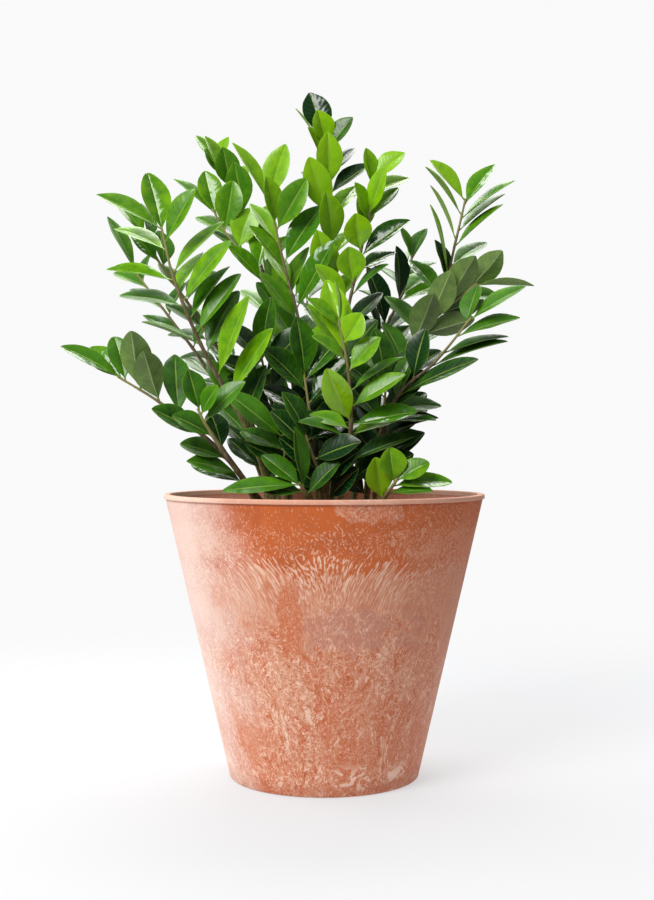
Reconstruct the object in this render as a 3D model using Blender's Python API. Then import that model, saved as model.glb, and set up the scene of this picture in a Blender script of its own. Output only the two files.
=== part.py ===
"""A potted ZZ plant: a tapered pot, its drainage and soil, rhizomes, and fronds of paired leaflets.

Metres, +Z up.  The origin is the centre of the pot's underside, and the front of the plant is -Y.
Heights named `rise` are above the pot's rim.
"""
import math

import bmesh
import bpy
import numpy as np
from mathutils import Vector
from mathutils.bvhtree import BVHTree

# ---- pot ----
POT_HEIGHT = 0.290
RIM_RADIUS = 0.165
BASE_RADIUS = 0.097
WALL = 0.006
FLOOR = 0.008
RIM_BAND = 0.0045
RIM_BAND_PROUD = 0.0008
BASE_CHAMFER = 0.0025
DRAIN_HOLE_RADIUS = 0.006
DRAIN_HOLE_CIRCLE = 0.045
DRAIN_HOLES = 4
POT_SIDES = 48
SOIL_SIDES = 24

# ---- what the pot holds ----
FIT = 0.0003
SCREEN_RADIUS = 0.070
SCREEN_THICKNESS = 0.0015
SCREEN_HOLE_RADIUS = 0.003
GRAVEL_DEPTH = 0.025
HEADSPACE = 0.045
SOIL_UNEVENNESS = 0.0025

# ---- rhizomes: each is a lump half buried in the soil, with a socket for every stalk ----
RHIZOME_HALF_WIDTH = 0.024
RHIZOME_HALF_HEIGHT = 0.018
RHIZOME_PROUD = 0.006
SOCKET_DEPTH = 0.012
STALK_STRAIGHT = 0.005

# ---- fronds ----
STALK_FOOT_RADIUS = 0.0038
STALK_TOP_RADIUS = 0.0027
RACHIS_TIP_RADIUS = 0.0010
STALK_SIDES = 6
RACHIS_SIDES = 4
BARE_STALK = 0.008
STALK_STEP = 0.018
LONGEST_RUN = 0.035
STEM_RINGS = 24
TIP_STUB = 0.0007
LEAFLET_HALF_BASE = 0.0013
LEAFLET_SPACING = 0.0032
LEAFLET_THICKNESS = 0.0012
LEAFLET_FOLD = 0.22
LEAFLET_CURVE = 0.10
LEAFLET_AIR = 0.0005
LEAFLET_STATIONS = (0.12, 0.45, 0.80)
LEAFLET_WIDEST = 1.1
LEAFLET_BLUNTNESS = 0.65
LEAFLET_ROOT = 0.04
PLANT_SCALE = 1.0

SOIL_TOP = POT_HEIGHT - HEADSPACE

RHIZOMES = {
    "left_front": (-0.050, -0.030),
    "left_back": (-0.048, 0.036),
    "front": (0.004, -0.058),
    "middle": (-0.004, 0.012),
    "right": (0.050, -0.018),
    "back": (0.022, 0.060),
}

# Each frond: the foot of its stalk (x, y), the points that its stem passes through (x, y, rise), and
# its leaflets.  A leaflet is (rise of its base, heading, lean, length, width, facing): heading is
# degrees from upright as seen from the front, positive to the right; lean is degrees towards the
# front; facing is 0 where its upper side looks to the front, and 90 where it looks up.
FRONDS = {
    "front_centre": ((0.010, -0.050), [
        (0.018, -0.060, 0.006), (0.026, -0.085, 0.070), (0.023, -0.090, 0.123), (0.014, -0.090, 0.171)], [
        (0.170, -2, 0, 0.040, 0.018, 78), (0.165, -45, 5, 0.042, 0.022, 55),
        (0.149, 29, 5, 0.034, 0.027, 15), (0.137, -12, -12, 0.082, 0.031, 15),
        (0.133, -51, 15, 0.040, 0.022, 55), (0.122, 40, 10, 0.044, 0.025, 35),
        (0.103, 53, -5, 0.062, 0.024, 68), (0.088, 55, 15, 0.060, 0.027, 50),
        (0.074, -25, 35, 0.062, 0.028, 0), (0.070, 74, 10, 0.064, 0.028, 55),
        (0.066, -65, -20, 0.045, 0.025, 50), (0.060, 66, -15, 0.056, 0.027, 55),
        (0.056, -49, 10, 0.056, 0.027, 50), (0.037, -45, -15, 0.076, 0.031, 45),
        (0.035, 64, 5, 0.068, 0.029, 60), (0.011, 49, 15, 0.056, 0.027, 50),
        (0.008, -22, 25, 0.058, 0.032, 0)]),
    "rim_left": ((-0.008, -0.060), [
        (-0.014, -0.080, -0.012), (-0.018, -0.092, 0.003), (-0.024, -0.100, 0.014)], [
        (0.014, -90, 10, 0.074, 0.027, 55), (0.013, -48, -10, 0.050, 0.025, 45),
        (0.011, -4, 5, 0.060, 0.022, 50), (0.007, -63, 20, 0.048, 0.025, 45),
        (0.002, 40, 15, 0.045, 0.025, 50)]),
    "rim_right": ((0.016, -0.062), [
        (0.052, -0.072, -0.010), (0.062, -0.080, 0.004), (0.072, -0.085, 0.018)], [
        (0.017, 57, 5, 0.035, 0.025, 40), (0.014, -6, 10, 0.034, 0.029, 20),
        (0.011, 82, -5, 0.058, 0.025, 55), (0.004, 65, 10, 0.045, 0.025, 45),
        (-0.003, -8, 20, 0.042, 0.029, 15)]),
    "inner_left": ((-0.010, 0.000), [
        (-0.026, -0.006, 0.030), (-0.052, -0.022, 0.090), (-0.064, -0.028, 0.140)], [
        (0.140, 5, 5, 0.062, 0.031, 35), (0.137, -40, -10, 0.058, 0.030, 45),
        (0.124, 40, 10, 0.062, 0.031, 35), (0.113, -60, 10, 0.055, 0.029, 50),
        (0.100, 30, -15, 0.064, 0.031, 40), (0.090, -45, 15, 0.058, 0.030, 45),
        (0.077, 48, 10, 0.062, 0.031, 35), (0.066, -50, -10, 0.058, 0.030, 50),
        (0.052, 35, -10, 0.060, 0.031, 45), (0.040, -35, 20, 0.056, 0.029, 45),
        (0.025, 45, 15, 0.056, 0.029, 45), (0.014, -50, 10, 0.054, 0.029, 50),
        (0.004, 35, 35, 0.050, 0.028, 30)]),
    "inner_centre": ((-0.002, -0.048), [
        (-0.004, -0.052, 0.020), (-0.014, -0.052, 0.080), (-0.020, -0.050, 0.120)], [
        (0.120, -5, 5, 0.060, 0.031, 30), (0.116, 35, -10, 0.056, 0.029, 45),
        (0.105, -42, 10, 0.060, 0.031, 40), (0.092, 38, 5, 0.060, 0.031, 45),
        (0.080, -55, -10, 0.058, 0.030, 50), (0.066, 45, -20, 0.058, 0.030, 45),
        (0.053, -45, 15, 0.060, 0.031, 40), (0.040, 50, 10, 0.055, 0.029, 50),
        (0.026, -50, 5, 0.056, 0.030, 45), (0.014, 48, -10, 0.054, 0.029, 45),
        (0.004, -40, 25, 0.050, 0.028, 35)]),
    "inner_right": ((0.041, -0.020), [
        (0.047, -0.034, 0.020), (0.058, -0.044, 0.070), (0.062, -0.046, 0.112)], [
        (0.112, -8, 5, 0.058, 0.030, 30), (0.108, 38, -15, 0.058, 0.030, 45),
        (0.098, -45, 5, 0.058, 0.030, 45), (0.086, 45, 15, 0.060, 0.031, 40),
        (0.074, -38, -10, 0.058, 0.030, 45), (0.060, 55, -15, 0.060, 0.030, 45),
        (0.046, -50, 10, 0.056, 0.029, 45), (0.033, 55, 10, 0.058, 0.030, 45),
        (0.020, -35, -15, 0.052, 0.029, 45), (0.010, 60, 0, 0.054, 0.029, 50),
        (0.000, -30, 30, 0.048, 0.028, 30)]),
    "front_low": ((0.004, -0.070), [
        (0.001, -0.076, 0.010), (-0.010, -0.083, 0.036), (-0.018, -0.086, 0.060)], [
        (0.060, -8, 8, 0.052, 0.029, 25), (0.056, 42, 5, 0.054, 0.029, 35),
        (0.047, -42, 10, 0.052, 0.029, 40), (0.036, 48, 12, 0.054, 0.029, 40),
        (0.026, -45, 15, 0.050, 0.028, 45), (0.016, 45, 15, 0.048, 0.028, 45),
        (0.006, -50, 25, 0.046, 0.027, 40), (-0.002, 40, 30, 0.046, 0.027, 40)]),
    "left_inner": ((-0.039, -0.036), [
        (-0.036, -0.055, 0.010), (-0.038, -0.070, 0.037), (-0.040, -0.075, 0.060)], [
        (0.060, -48, 10, 0.070, 0.029, 40), (0.057, 10, 5, 0.054, 0.029, 20),
        (0.045, -62, -15, 0.050, 0.027, 50), (0.039, 35, -10, 0.055, 0.027, 50),
        (0.030, -40, 20, 0.046, 0.026, 45), (0.020, 15, 30, 0.044, 0.026, 45)]),
    "far_left": ((-0.062, -0.034), [
        (-0.069, -0.060, -0.004), (-0.099, -0.082, 0.042), (-0.155, -0.100, 0.089),
        (-0.198, -0.105, 0.116)], [
        (0.116, -57, 10, 0.062, 0.027, 60), (0.114, -45, -20, 0.052, 0.027, 25),
        (0.112, -16, -25, 0.050, 0.027, 20), (0.103, -6, 15, 0.058, 0.031, 172),
        (0.092, -17, 10, 0.054, 0.031, 172), (0.078, -6, -30, 0.076, 0.029, 20),
        (0.062, -57, 20, 0.056, 0.029, 50), (0.038, -68, 5, 0.046, 0.025, 45),
        (0.024, -63, 20, 0.054, 0.025, 50), (0.014, -67, -10, 0.056, 0.025, 50)]),
    "left_small": ((-0.051, -0.043), [
        (-0.074, -0.082, 0.010), (-0.097, -0.105, 0.045), (-0.114, -0.116, 0.072),
        (-0.120, -0.118, 0.085)], [
        (0.084, -12, 10, 0.040, 0.025, 30), (0.079, 20, 20, 0.036, 0.022, 45),
        (0.072, 42, 10, 0.054, 0.025, 40), (0.060, -58, 20, 0.042, 0.025, 45),
        (0.046, -17, -20, 0.042, 0.025, 35)]),
    "left_tall": ((-0.042, -0.020), [
        (-0.052, -0.030, -0.004), (-0.074, -0.045, 0.060), (-0.117, -0.060, 0.139),
        (-0.148, -0.065, 0.213), (-0.161, -0.065, 0.266)], [
        (0.266, -58, 10, 0.070, 0.031, 60), (0.262, -13, -10, 0.066, 0.030, 25),
        (0.250, 27, 15, 0.060, 0.030, 45), (0.243, -59, -25, 0.068, 0.031, 60),
        (0.220, 38, -10, 0.074, 0.031, 55), (0.213, -76, 5, 0.066, 0.031, 65),
        (0.203, 20, -35, 0.060, 0.029, 50), (0.192, 36, 15, 0.076, 0.031, 50),
        (0.188, -74, -15, 0.070, 0.031, 60), (0.175, 29, -20, 0.072, 0.031, 55),
        (0.161, 33, 5, 0.072, 0.031, 50), (0.151, -64, 15, 0.060, 0.026, 78),
        (0.140, 21, -15, 0.076, 0.031, 35), (0.119, 18, 10, 0.088, 0.031, 45),
        (0.100, 30, 20, 0.080, 0.029, 50), (0.088, -28, -15, 0.060, 0.030, 40),
        (0.074, 18, -22, 0.062, 0.030, 40), (0.058, -42, -22, 0.058, 0.030, 45)]),
    "right_low": ((0.050, -0.032), [
        (0.055, -0.050, 0.030), (0.070, -0.060, 0.095), (0.109, -0.075, 0.132),
        (0.143, -0.085, 0.174)], [
        (0.174, 54, 5, 0.062, 0.027, 60), (0.168, 15, -20, 0.045, 0.025, 50),
        (0.157, 69, 10, 0.062, 0.025, 62), (0.141, 70, -10, 0.068, 0.024, 70),
        (0.129, 67, 5, 0.076, 0.024, 70), (0.115, 11, 10, 0.050, 0.027, 30),
        (0.100, 68, 10, 0.092, 0.029, 65), (0.094, 36, -15, 0.060, 0.027, 50),
        (0.085, 80, -10, 0.052, 0.027, 50), (0.073, 74, 10, 0.050, 0.027, 50),
        (0.062, 68, 20, 0.056, 0.029, 40), (0.055, 49, -20, 0.050, 0.029, 45),
        (0.042, 60, 0, 0.045, 0.027, 45),
        (0.030, -30, 30, 0.050, 0.028, 25), (0.018, 50, 30, 0.050, 0.028, 30),
        (0.006, -25, 35, 0.048, 0.028, 30)]),
    "right_spread": ((0.060, -0.014), [
        (0.064, -0.010, 0.060), (0.078, -0.010, 0.117), (0.102, -0.020, 0.167),
        (0.123, -0.025, 0.188), (0.155, -0.030, 0.214)], [
        (0.214, 86, 5, 0.058, 0.024, 100), (0.208, 40, 8, 0.050, 0.027, 170),
        (0.200, 80, -25, 0.050, 0.025, 45), (0.190, 27, 10, 0.062, 0.029, 170),
        (0.184, 60, -10, 0.052, 0.026, 150), (0.172, 24, 10, 0.064, 0.030, 168),
        (0.164, 54, -10, 0.056, 0.027, 150), (0.150, 18, 15, 0.064, 0.030, 168),
        (0.130, -20, -15, 0.055, 0.029, 45), (0.120, 50, -25, 0.055, 0.029, 50),
        (0.098, -25, -25, 0.054, 0.028, 45), (0.076, 48, -25, 0.055, 0.029, 45),
        (0.052, -30, -20, 0.052, 0.028, 40)]),
    "right_tall": ((0.044, -0.002), [
        (0.050, 0.010, 0.050), (0.082, 0.012, 0.130), (0.124, 0.014, 0.212),
        (0.138, 0.015, 0.265), (0.148, 0.015, 0.308)], [
        (0.308, -37, 5, 0.055, 0.027, 50), (0.306, 32, -10, 0.056, 0.028, 50),
        (0.291, -33, 10, 0.062, 0.025, 80), (0.288, 50, 10, 0.066, 0.027, 76),
        (0.275, 45, -15, 0.068, 0.028, 72), (0.266, -18, -10, 0.064, 0.022, 84),
        (0.259, 44, 10, 0.064, 0.028, 74), (0.238, 50, -20, 0.052, 0.027, 55),
        (0.230, -11, 20, 0.074, 0.024, 84), (0.223, 5, 15, 0.044, 0.027, 30),
        (0.205, -30, -25, 0.058, 0.029, 45), (0.195, 50, -35, 0.060, 0.029, 45),
        (0.165, -35, -20, 0.060, 0.029, 45), (0.150, 45, -35, 0.060, 0.029, 45),
        (0.128, -30, -30, 0.056, 0.028, 45), (0.108, 42, -30, 0.058, 0.029, 45),
        (0.086, -32, 15, 0.056, 0.029, 40), (0.064, 42, -25, 0.056, 0.029, 45)]),
    "centre_right": ((0.006, 0.006), [
        (0.015, -0.004, 0.070), (0.021, -0.010, 0.168), (0.038, -0.015, 0.250),
        (0.046, -0.015, 0.286), (0.049, -0.015, 0.325)], [
        (0.324, 48, 5, 0.042, 0.025, 35), (0.318, -5, 10, 0.036, 0.022, 45),
        (0.308, 60, -15, 0.045, 0.025, 50), (0.287, 15, 15, 0.052, 0.027, 45),
        (0.283, 38, -10, 0.046, 0.022, 50), (0.278, -14, 15, 0.044, 0.027, 35),
        (0.268, 4, 12, 0.042, 0.029, 20), (0.249, -8, 18, 0.040, 0.031, 10),
        (0.244, 50, 5, 0.062, 0.029, 45), (0.229, 58, -10, 0.046, 0.027, 50),
        (0.217, -6, 15, 0.036, 0.031, 10), (0.205, 38, 10, 0.050, 0.029, 45),
        (0.190, -32, 10, 0.055, 0.029, 45), (0.170, 40, -12, 0.056, 0.029, 50),
        (0.150, -35, 15, 0.056, 0.029, 45), (0.135, 35, 12, 0.056, 0.029, 45),
        (0.115, -32, 10, 0.060, 0.031, 45), (0.098, 42, 10, 0.060, 0.031, 45),
        (0.078, -38, -10, 0.058, 0.031, 45), (0.060, 40, -10, 0.058, 0.031, 45),
        (0.042, -35, 20, 0.055, 0.030, 40), (0.024, 40, -20, 0.054, 0.029, 40)]),
    "centre_left": ((-0.004, 0.013), [
        (-0.018, 0.003, 0.070), (-0.025, 0.010, 0.170), (-0.042, 0.020, 0.239),
        (-0.058, 0.020, 0.309)], [
        (0.309, 14, 5, 0.061, 0.029, 15), (0.303, -27, 10, 0.074, 0.027, 60),
        (0.296, -5, -25, 0.063, 0.027, 50), (0.282, -7, 20, 0.050, 0.027, 45),
        (0.276, 13, 10, 0.063, 0.031, 15), (0.262, -30, -15, 0.058, 0.029, 50),
        (0.242, 32, 5, 0.071, 0.031, 25), (0.235, -35, 10, 0.058, 0.029, 55),
        (0.215, -25, -25, 0.063, 0.029, 50), (0.205, 35, -25, 0.063, 0.029, 50),
        (0.193, 26, 15, 0.080, 0.031, 40), (0.180, -35, 15, 0.063, 0.029, 50),
        (0.150, -30, -10, 0.063, 0.031, 50), (0.140, 35, -15, 0.063, 0.031, 50),
        (0.120, -30, -20, 0.063, 0.031, 45), (0.108, 38, 15, 0.063, 0.031, 45),
        (0.092, -5, 20, 0.082, 0.027, 60), (0.070, 40, -15, 0.061, 0.031, 45),
        (0.060, -38, -15, 0.061, 0.031, 45),
        (0.040, 35, 10, 0.056, 0.030, 40), (0.022, -35, -25, 0.054, 0.029, 40)]),
    "centre_tallest": ((0.004, 0.022), [
        (0.010, 0.025, 0.092), (0.010, 0.030, 0.200), (0.006, 0.030, 0.300), (0.002, 0.030, 0.376)], [
        (0.376, -18, 0, 0.053, 0.031, 10), (0.366, -12, 15, 0.038, 0.027, 25),
        (0.362, 18, 5, 0.044, 0.027, 20), (0.357, -26, -15, 0.066, 0.022, 75),
        (0.348, -25, 20, 0.042, 0.025, 55), (0.334, 32, -25, 0.050, 0.029, 45),
        (0.323, 0, 20, 0.056, 0.029, 15), (0.316, 48, -5, 0.054, 0.027, 50),
        (0.310, -35, -25, 0.050, 0.029, 50), (0.293, -20, 15, 0.066, 0.031, 10),
        (0.287, 28, -25, 0.060, 0.031, 50), (0.260, -4, 25, 0.062, 0.031, 5),
        (0.250, 32, -30, 0.060, 0.031, 50), (0.228, -32, -20, 0.056, 0.031, 50),
        (0.213, -14, 25, 0.066, 0.031, 10), (0.198, 30, -22, 0.060, 0.031, 50),
        (0.160, -30, -25, 0.060, 0.031, 50), (0.140, 35, -25, 0.060, 0.031, 50),
        (0.115, -35, 15, 0.060, 0.031, 45), (0.095, 38, -20, 0.060, 0.031, 45),
        (0.070, -35, -25, 0.058, 0.031, 45),
        (0.050, 35, 20, 0.056, 0.030, 40), (0.030, -35, -30, 0.055, 0.029, 40)]),
    "left_behind": ((-0.056, 0.026), [
        (-0.066, 0.022, 0.030), (-0.088, 0.015, 0.108), (-0.131, 0.005, 0.182),
        (-0.170, 0.000, 0.238), (-0.186, 0.000, 0.270)], [
        (0.269, -35, -5, 0.048, 0.027, 50), (0.262, -8, -35, 0.050, 0.027, 40),
        (0.240, -40, 15, 0.045, 0.025, 45), (0.234, -5, -20, 0.045, 0.025, 40),
        (0.206, -32, -25, 0.050, 0.027, 50), (0.200, 30, -40, 0.060, 0.029, 45),
        (0.170, -52, -20, 0.055, 0.027, 50), (0.165, 25, -30, 0.060, 0.029, 45),
        (0.130, -32, -45, 0.060, 0.029, 40), (0.115, 30, -30, 0.060, 0.029, 40),
        (0.095, -38, -20, 0.060, 0.030, 45), (0.080, 28, -15, 0.060, 0.030, 45),
        (0.060, -42, -15, 0.058, 0.030, 45),
        (0.042, 30, -25, 0.055, 0.029, 45), (0.026, -45, -20, 0.052, 0.028, 40),
        (0.010, 25, -30, 0.050, 0.028, 40)]),
    "left_upper": ((-0.016, 0.016), [
        (-0.028, 0.030, 0.060), (-0.041, 0.040, 0.170), (-0.067, 0.050, 0.227),
        (-0.107, 0.060, 0.280), (-0.120, 0.060, 0.304)], [
        (0.303, -46, 5, 0.055, 0.027, 60), (0.299, -14, -15, 0.053, 0.028, 15),
        (0.282, 9, 10, 0.053, 0.031, 10), (0.276, -50, -30, 0.053, 0.027, 50),
        (0.261, 16, 5, 0.046, 0.031, 10), (0.253, -45, -20, 0.053, 0.027, 55),
        (0.236, 11, -10, 0.063, 0.031, 10), (0.225, -40, 10, 0.053, 0.027, 50),
        (0.208, 0, -20, 0.061, 0.029, 40), (0.198, 25, -30, 0.063, 0.029, 50),
        (0.190, 19, 10, 0.076, 0.029, 55), (0.184, -30, 15, 0.047, 0.027, 50),
        (0.152, 30, -30, 0.063, 0.031, 45), (0.146, -35, -25, 0.063, 0.031, 45),
        (0.118, 28, -25, 0.063, 0.031, 45), (0.105, -42, -15, 0.063, 0.031, 45),
        (0.075, -30, -25, 0.061, 0.031, 45),
        (0.050, 32, -20, 0.058, 0.030, 45), (0.028, -35, -20, 0.055, 0.029, 40)]),
    "right_behind": ((0.032, 0.050), [
        (0.042, 0.046, 0.080), (0.065, 0.044, 0.172), (0.085, 0.050, 0.215),
        (0.095, 0.060, 0.255)], [
        (0.254, -16, 5, 0.034, 0.020, 60), (0.249, 20, -20, 0.045, 0.025, 50),
        (0.212, 45, -30, 0.050, 0.027, 50), (0.205, 8, 15, 0.060, 0.029, 25),
        (0.176, -14, 10, 0.066, 0.028, 40), (0.170, 45, -25, 0.055, 0.029, 50),
        (0.160, -7, 25, 0.052, 0.027, 45), (0.149, -37, 10, 0.055, 0.027, 45),
        (0.144, 40, -20, 0.055, 0.029, 50), (0.128, -25, 15, 0.072, 0.031, 30),
        (0.115, 8, 20, 0.070, 0.031, 30), (0.100, -35, -20, 0.060, 0.029, 45),
        (0.090, 35, -25, 0.060, 0.029, 45), (0.070, -30, -20, 0.060, 0.031, 45),
        (0.055, 40, -20, 0.058, 0.030, 45),
        (0.038, -35, -25, 0.056, 0.029, 45), (0.022, 40, -25, 0.052, 0.028, 40)]),
    "left_far_back": ((-0.058, 0.042), [
        (-0.080, 0.050, 0.050), (-0.125, 0.056, 0.130), (-0.169, 0.065, 0.190),
        (-0.207, 0.070, 0.240)], [
        (0.240, -22, 5, 0.066, 0.027, 65), (0.228, 4, -30, 0.040, 0.025, 50),
        (0.222, -60, -20, 0.045, 0.025, 50), (0.198, -52, -30, 0.055, 0.027, 50),
        (0.190, 15, -35, 0.055, 0.027, 50), (0.165, -55, -10, 0.055, 0.027, 60),
        (0.155, 20, -30, 0.060, 0.029, 50), (0.122, -45, -40, 0.055, 0.027, 40),
        (0.110, 30, -40, 0.060, 0.029, 45),
        (0.088, -48, -35, 0.056, 0.028, 45), (0.068, 28, -38, 0.056, 0.029, 45),
        (0.048, -45, -30, 0.054, 0.028, 45), (0.030, 30, -35, 0.052, 0.028, 40)]),
    "upper_back": ((-0.036, 0.036), [
        (-0.042, 0.060, 0.060), (-0.058, 0.080, 0.200), (-0.083, 0.095, 0.290),
        (-0.106, 0.100, 0.338), (-0.122, 0.105, 0.365)], [
        (0.364, -31, 0, 0.038, 0.022, 55), (0.359, 10, -20, 0.042, 0.022, 40),
        (0.348, -32, 20, 0.036, 0.020, 40), (0.341, -22, 5, 0.057, 0.027, 58),
        (0.333, -10, 15, 0.048, 0.029, 15), (0.320, 2, -20, 0.047, 0.029, 30),
        (0.306, -10, 10, 0.058, 0.030, 10), (0.298, -60, -15, 0.053, 0.027, 50),
        (0.275, 20, -20, 0.058, 0.029, 45), (0.268, -45, -20, 0.058, 0.029, 50),
        (0.240, 25, -25, 0.058, 0.029, 45), (0.232, -40, -30, 0.058, 0.029, 50),
        (0.200, 30, -30, 0.063, 0.029, 45), (0.190, -40, -35, 0.063, 0.029, 45),
        (0.150, 35, -30, 0.063, 0.029, 45), (0.140, -35, -35, 0.063, 0.029, 45),
        (0.120, 35, -30, 0.060, 0.029, 45), (0.104, -38, -30, 0.060, 0.029, 45),
        (0.080, 32, -35, 0.058, 0.029, 45), (0.058, -38, -35, 0.056, 0.029, 40),
        (0.036, 35, -35, 0.052, 0.028, 40)]),
    "back_right": ((0.030, 0.068), [
        (0.045, 0.090, 0.060), (0.072, 0.115, 0.150), (0.085, 0.135, 0.210), (0.090, 0.150, 0.245)], [
        (0.244, 10, -40, 0.050, 0.027, 60), (0.240, 55, -30, 0.055, 0.027, 60),
        (0.232, -40, -40, 0.055, 0.029, 60), (0.214, 60, -25, 0.060, 0.029, 55),
        (0.200, -50, -30, 0.060, 0.031, 60), (0.186, 60, -35, 0.060, 0.031, 55),
        (0.172, -45, -40, 0.060, 0.031, 60), (0.155, 55, -40, 0.060, 0.031, 55),
        (0.140, -45, -40, 0.060, 0.031, 55), (0.120, 55, -35, 0.060, 0.029, 55),
        (0.100, -40, -45, 0.060, 0.029, 55), (0.082, 50, -45, 0.058, 0.029, 55),
        (0.064, -45, -40, 0.058, 0.029, 50), (0.048, 50, -40, 0.056, 0.028, 50),
        (0.032, -45, -35, 0.052, 0.028, 45), (0.018, 40, -35, 0.050, 0.028, 40)]),
    "back_centre": ((0.011, 0.064), [
        (0.002, 0.095, 0.040), (-0.010, 0.128, 0.125), (-0.018, 0.150, 0.190),
        (-0.020, 0.162, 0.225)], [
        (0.224, -15, -40, 0.052, 0.027, 60), (0.219, 45, -35, 0.055, 0.029, 60),
        (0.210, -60, -35, 0.055, 0.029, 60), (0.192, 55, -35, 0.060, 0.031, 60),
        (0.178, -60, -30, 0.060, 0.031, 60), (0.160, 55, -40, 0.060, 0.031, 55),
        (0.145, -55, -40, 0.060, 0.031, 60), (0.125, 50, -45, 0.060, 0.031, 55),
        (0.108, -55, -45, 0.060, 0.031, 55), (0.088, 50, -40, 0.056, 0.029, 55),
        (0.072, -50, -45, 0.058, 0.029, 55), (0.055, 48, -45, 0.058, 0.029, 50),
        (0.040, -45, -40, 0.054, 0.028, 50),
        (0.026, 48, -35, 0.052, 0.028, 45), (0.012, -40, -35, 0.050, 0.028, 40)]),
    "back_left": ((-0.047, 0.047), [
        (-0.062, 0.082, 0.035), (-0.095, 0.112, 0.100), (-0.122, 0.130, 0.150),
        (-0.138, 0.140, 0.185)], [
        (0.184, -35, -30, 0.052, 0.027, 60), (0.179, 10, -50, 0.050, 0.027, 60),
        (0.170, -75, -25, 0.055, 0.029, 60), (0.155, 25, -50, 0.058, 0.029, 55),
        (0.143, -75, -30, 0.058, 0.031, 60), (0.127, 20, -55, 0.060, 0.031, 55),
        (0.112, -70, -35, 0.058, 0.031, 55), (0.095, 30, -50, 0.056, 0.029, 55),
        (0.080, -65, -40, 0.056, 0.029, 55), (0.064, 30, -45, 0.056, 0.029, 55),
        (0.050, -55, -40, 0.054, 0.028, 50),
        (0.036, 35, -40, 0.052, 0.028, 45), (0.022, -50, -35, 0.050, 0.028, 40)]),
}

# A leaflet whose place is taken grows a little aside: changes of heading, lean and facing in
# degrees, and of length, taken in this order until one is clear.
SIDESTEPS = [(0, 0, 0, 1.0)] + [
    (heading, lean, facing, length)
    for length in (0.97, 0.85, 0.7, 0.55)
    for lean in (9, -9, 18, -18, 28, -28, 40, -40)
    for heading in (0.5, 8, -8, 17, -17)
    for facing in (0, 25)]


# ---- general shapes ----

def new_object(name, mesh, color, roughness, metallic=0.0):
    """Link a mesh as an object with its own plain material."""
    material = bpy.data.materials.new(name)
    material.use_nodes = True
    shader = material.node_tree.nodes["Principled BSDF"]
    shader.inputs["Base Color"].default_value = (*color, 1.0)
    shader.inputs["Roughness"].default_value = roughness
    shader.inputs["Metallic"].default_value = metallic
    mesh.materials.append(material)
    item = bpy.data.objects.new(name, mesh)
    bpy.context.collection.objects.link(item)
    return item


def mesh_from(name, points, faces):
    """Make a triangulated mesh from points and faces."""
    mesh = bpy.data.meshes.new(name)
    mesh.from_pydata([tuple(point) for point in points], [], faces)
    work = bmesh.new()
    work.from_mesh(mesh)
    bmesh.ops.triangulate(work, faces=work.faces)
    work.to_mesh(mesh)
    work.free()
    mesh.update()
    return mesh


def turned(profile, sides, unevenness=None):
    """Turn an outline that starts and ends on the Z axis, bottom first, into points and faces."""
    points = [Vector((0, 0, profile[0][1]))]
    rings = profile[1:-1]
    for radius, height in rings:
        for side in range(sides):
            turn = math.tau * side / sides
            x, y = radius * math.cos(turn), radius * math.sin(turn)
            points.append(Vector((x, y, height + (unevenness(x, y, height) if unevenness else 0.0))))
    points.append(Vector((0, 0, profile[-1][1])))
    faces = []
    for side in range(sides):
        after = (side + 1) % sides
        faces.append((0, 1 + after, 1 + side))
        for ring in range(len(rings) - 1):
            low, high = 1 + ring * sides, 1 + (ring + 1) * sides
            faces.append((low + side, low + after, high + after, high + side))
        last = 1 + (len(rings) - 1) * sides
        faces.append((last + side, last + after, len(points) - 1))
    return points, faces


def cutter(name, pieces):
    """Make one hidden object out of closed (points, faces) pieces, for a Boolean to take away."""
    points, faces = [], []
    for piece_points, piece_faces in pieces:
        start = len(points)
        points += piece_points
        faces += [tuple(start + index for index in face) for face in piece_faces]
    item = bpy.data.objects.new(name, mesh_from(name, points, faces))
    bpy.context.collection.objects.link(item)
    item.hide_render = True
    item.display_type = "WIRE"
    return item


def cut(item, tool):
    """Take a cutter away from an object."""
    step = item.modifiers.new("cut", "BOOLEAN")
    step.operation = "DIFFERENCE"
    step.solver = "EXACT"
    step.use_self = False
    step.object = tool


def peg(x, y, low, high, radius, sides=12):
    """An upright cylinder as points and faces."""
    points, faces = turned([(0, low), (radius, low), (radius, high), (0, high)], sides)
    return [point + Vector((x, y, 0)) for point in points], faces


# ---- pot and what it holds ----

def pot_outside(height):
    """Outer radius of the pot's straight wall at a height."""
    low, high = BASE_RADIUS, RIM_RADIUS - RIM_BAND_PROUD
    return low + (high - low) * height / POT_HEIGHT


def pot_inside(height):
    """Inner radius of the pot at a height."""
    return pot_outside(height) - WALL


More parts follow.
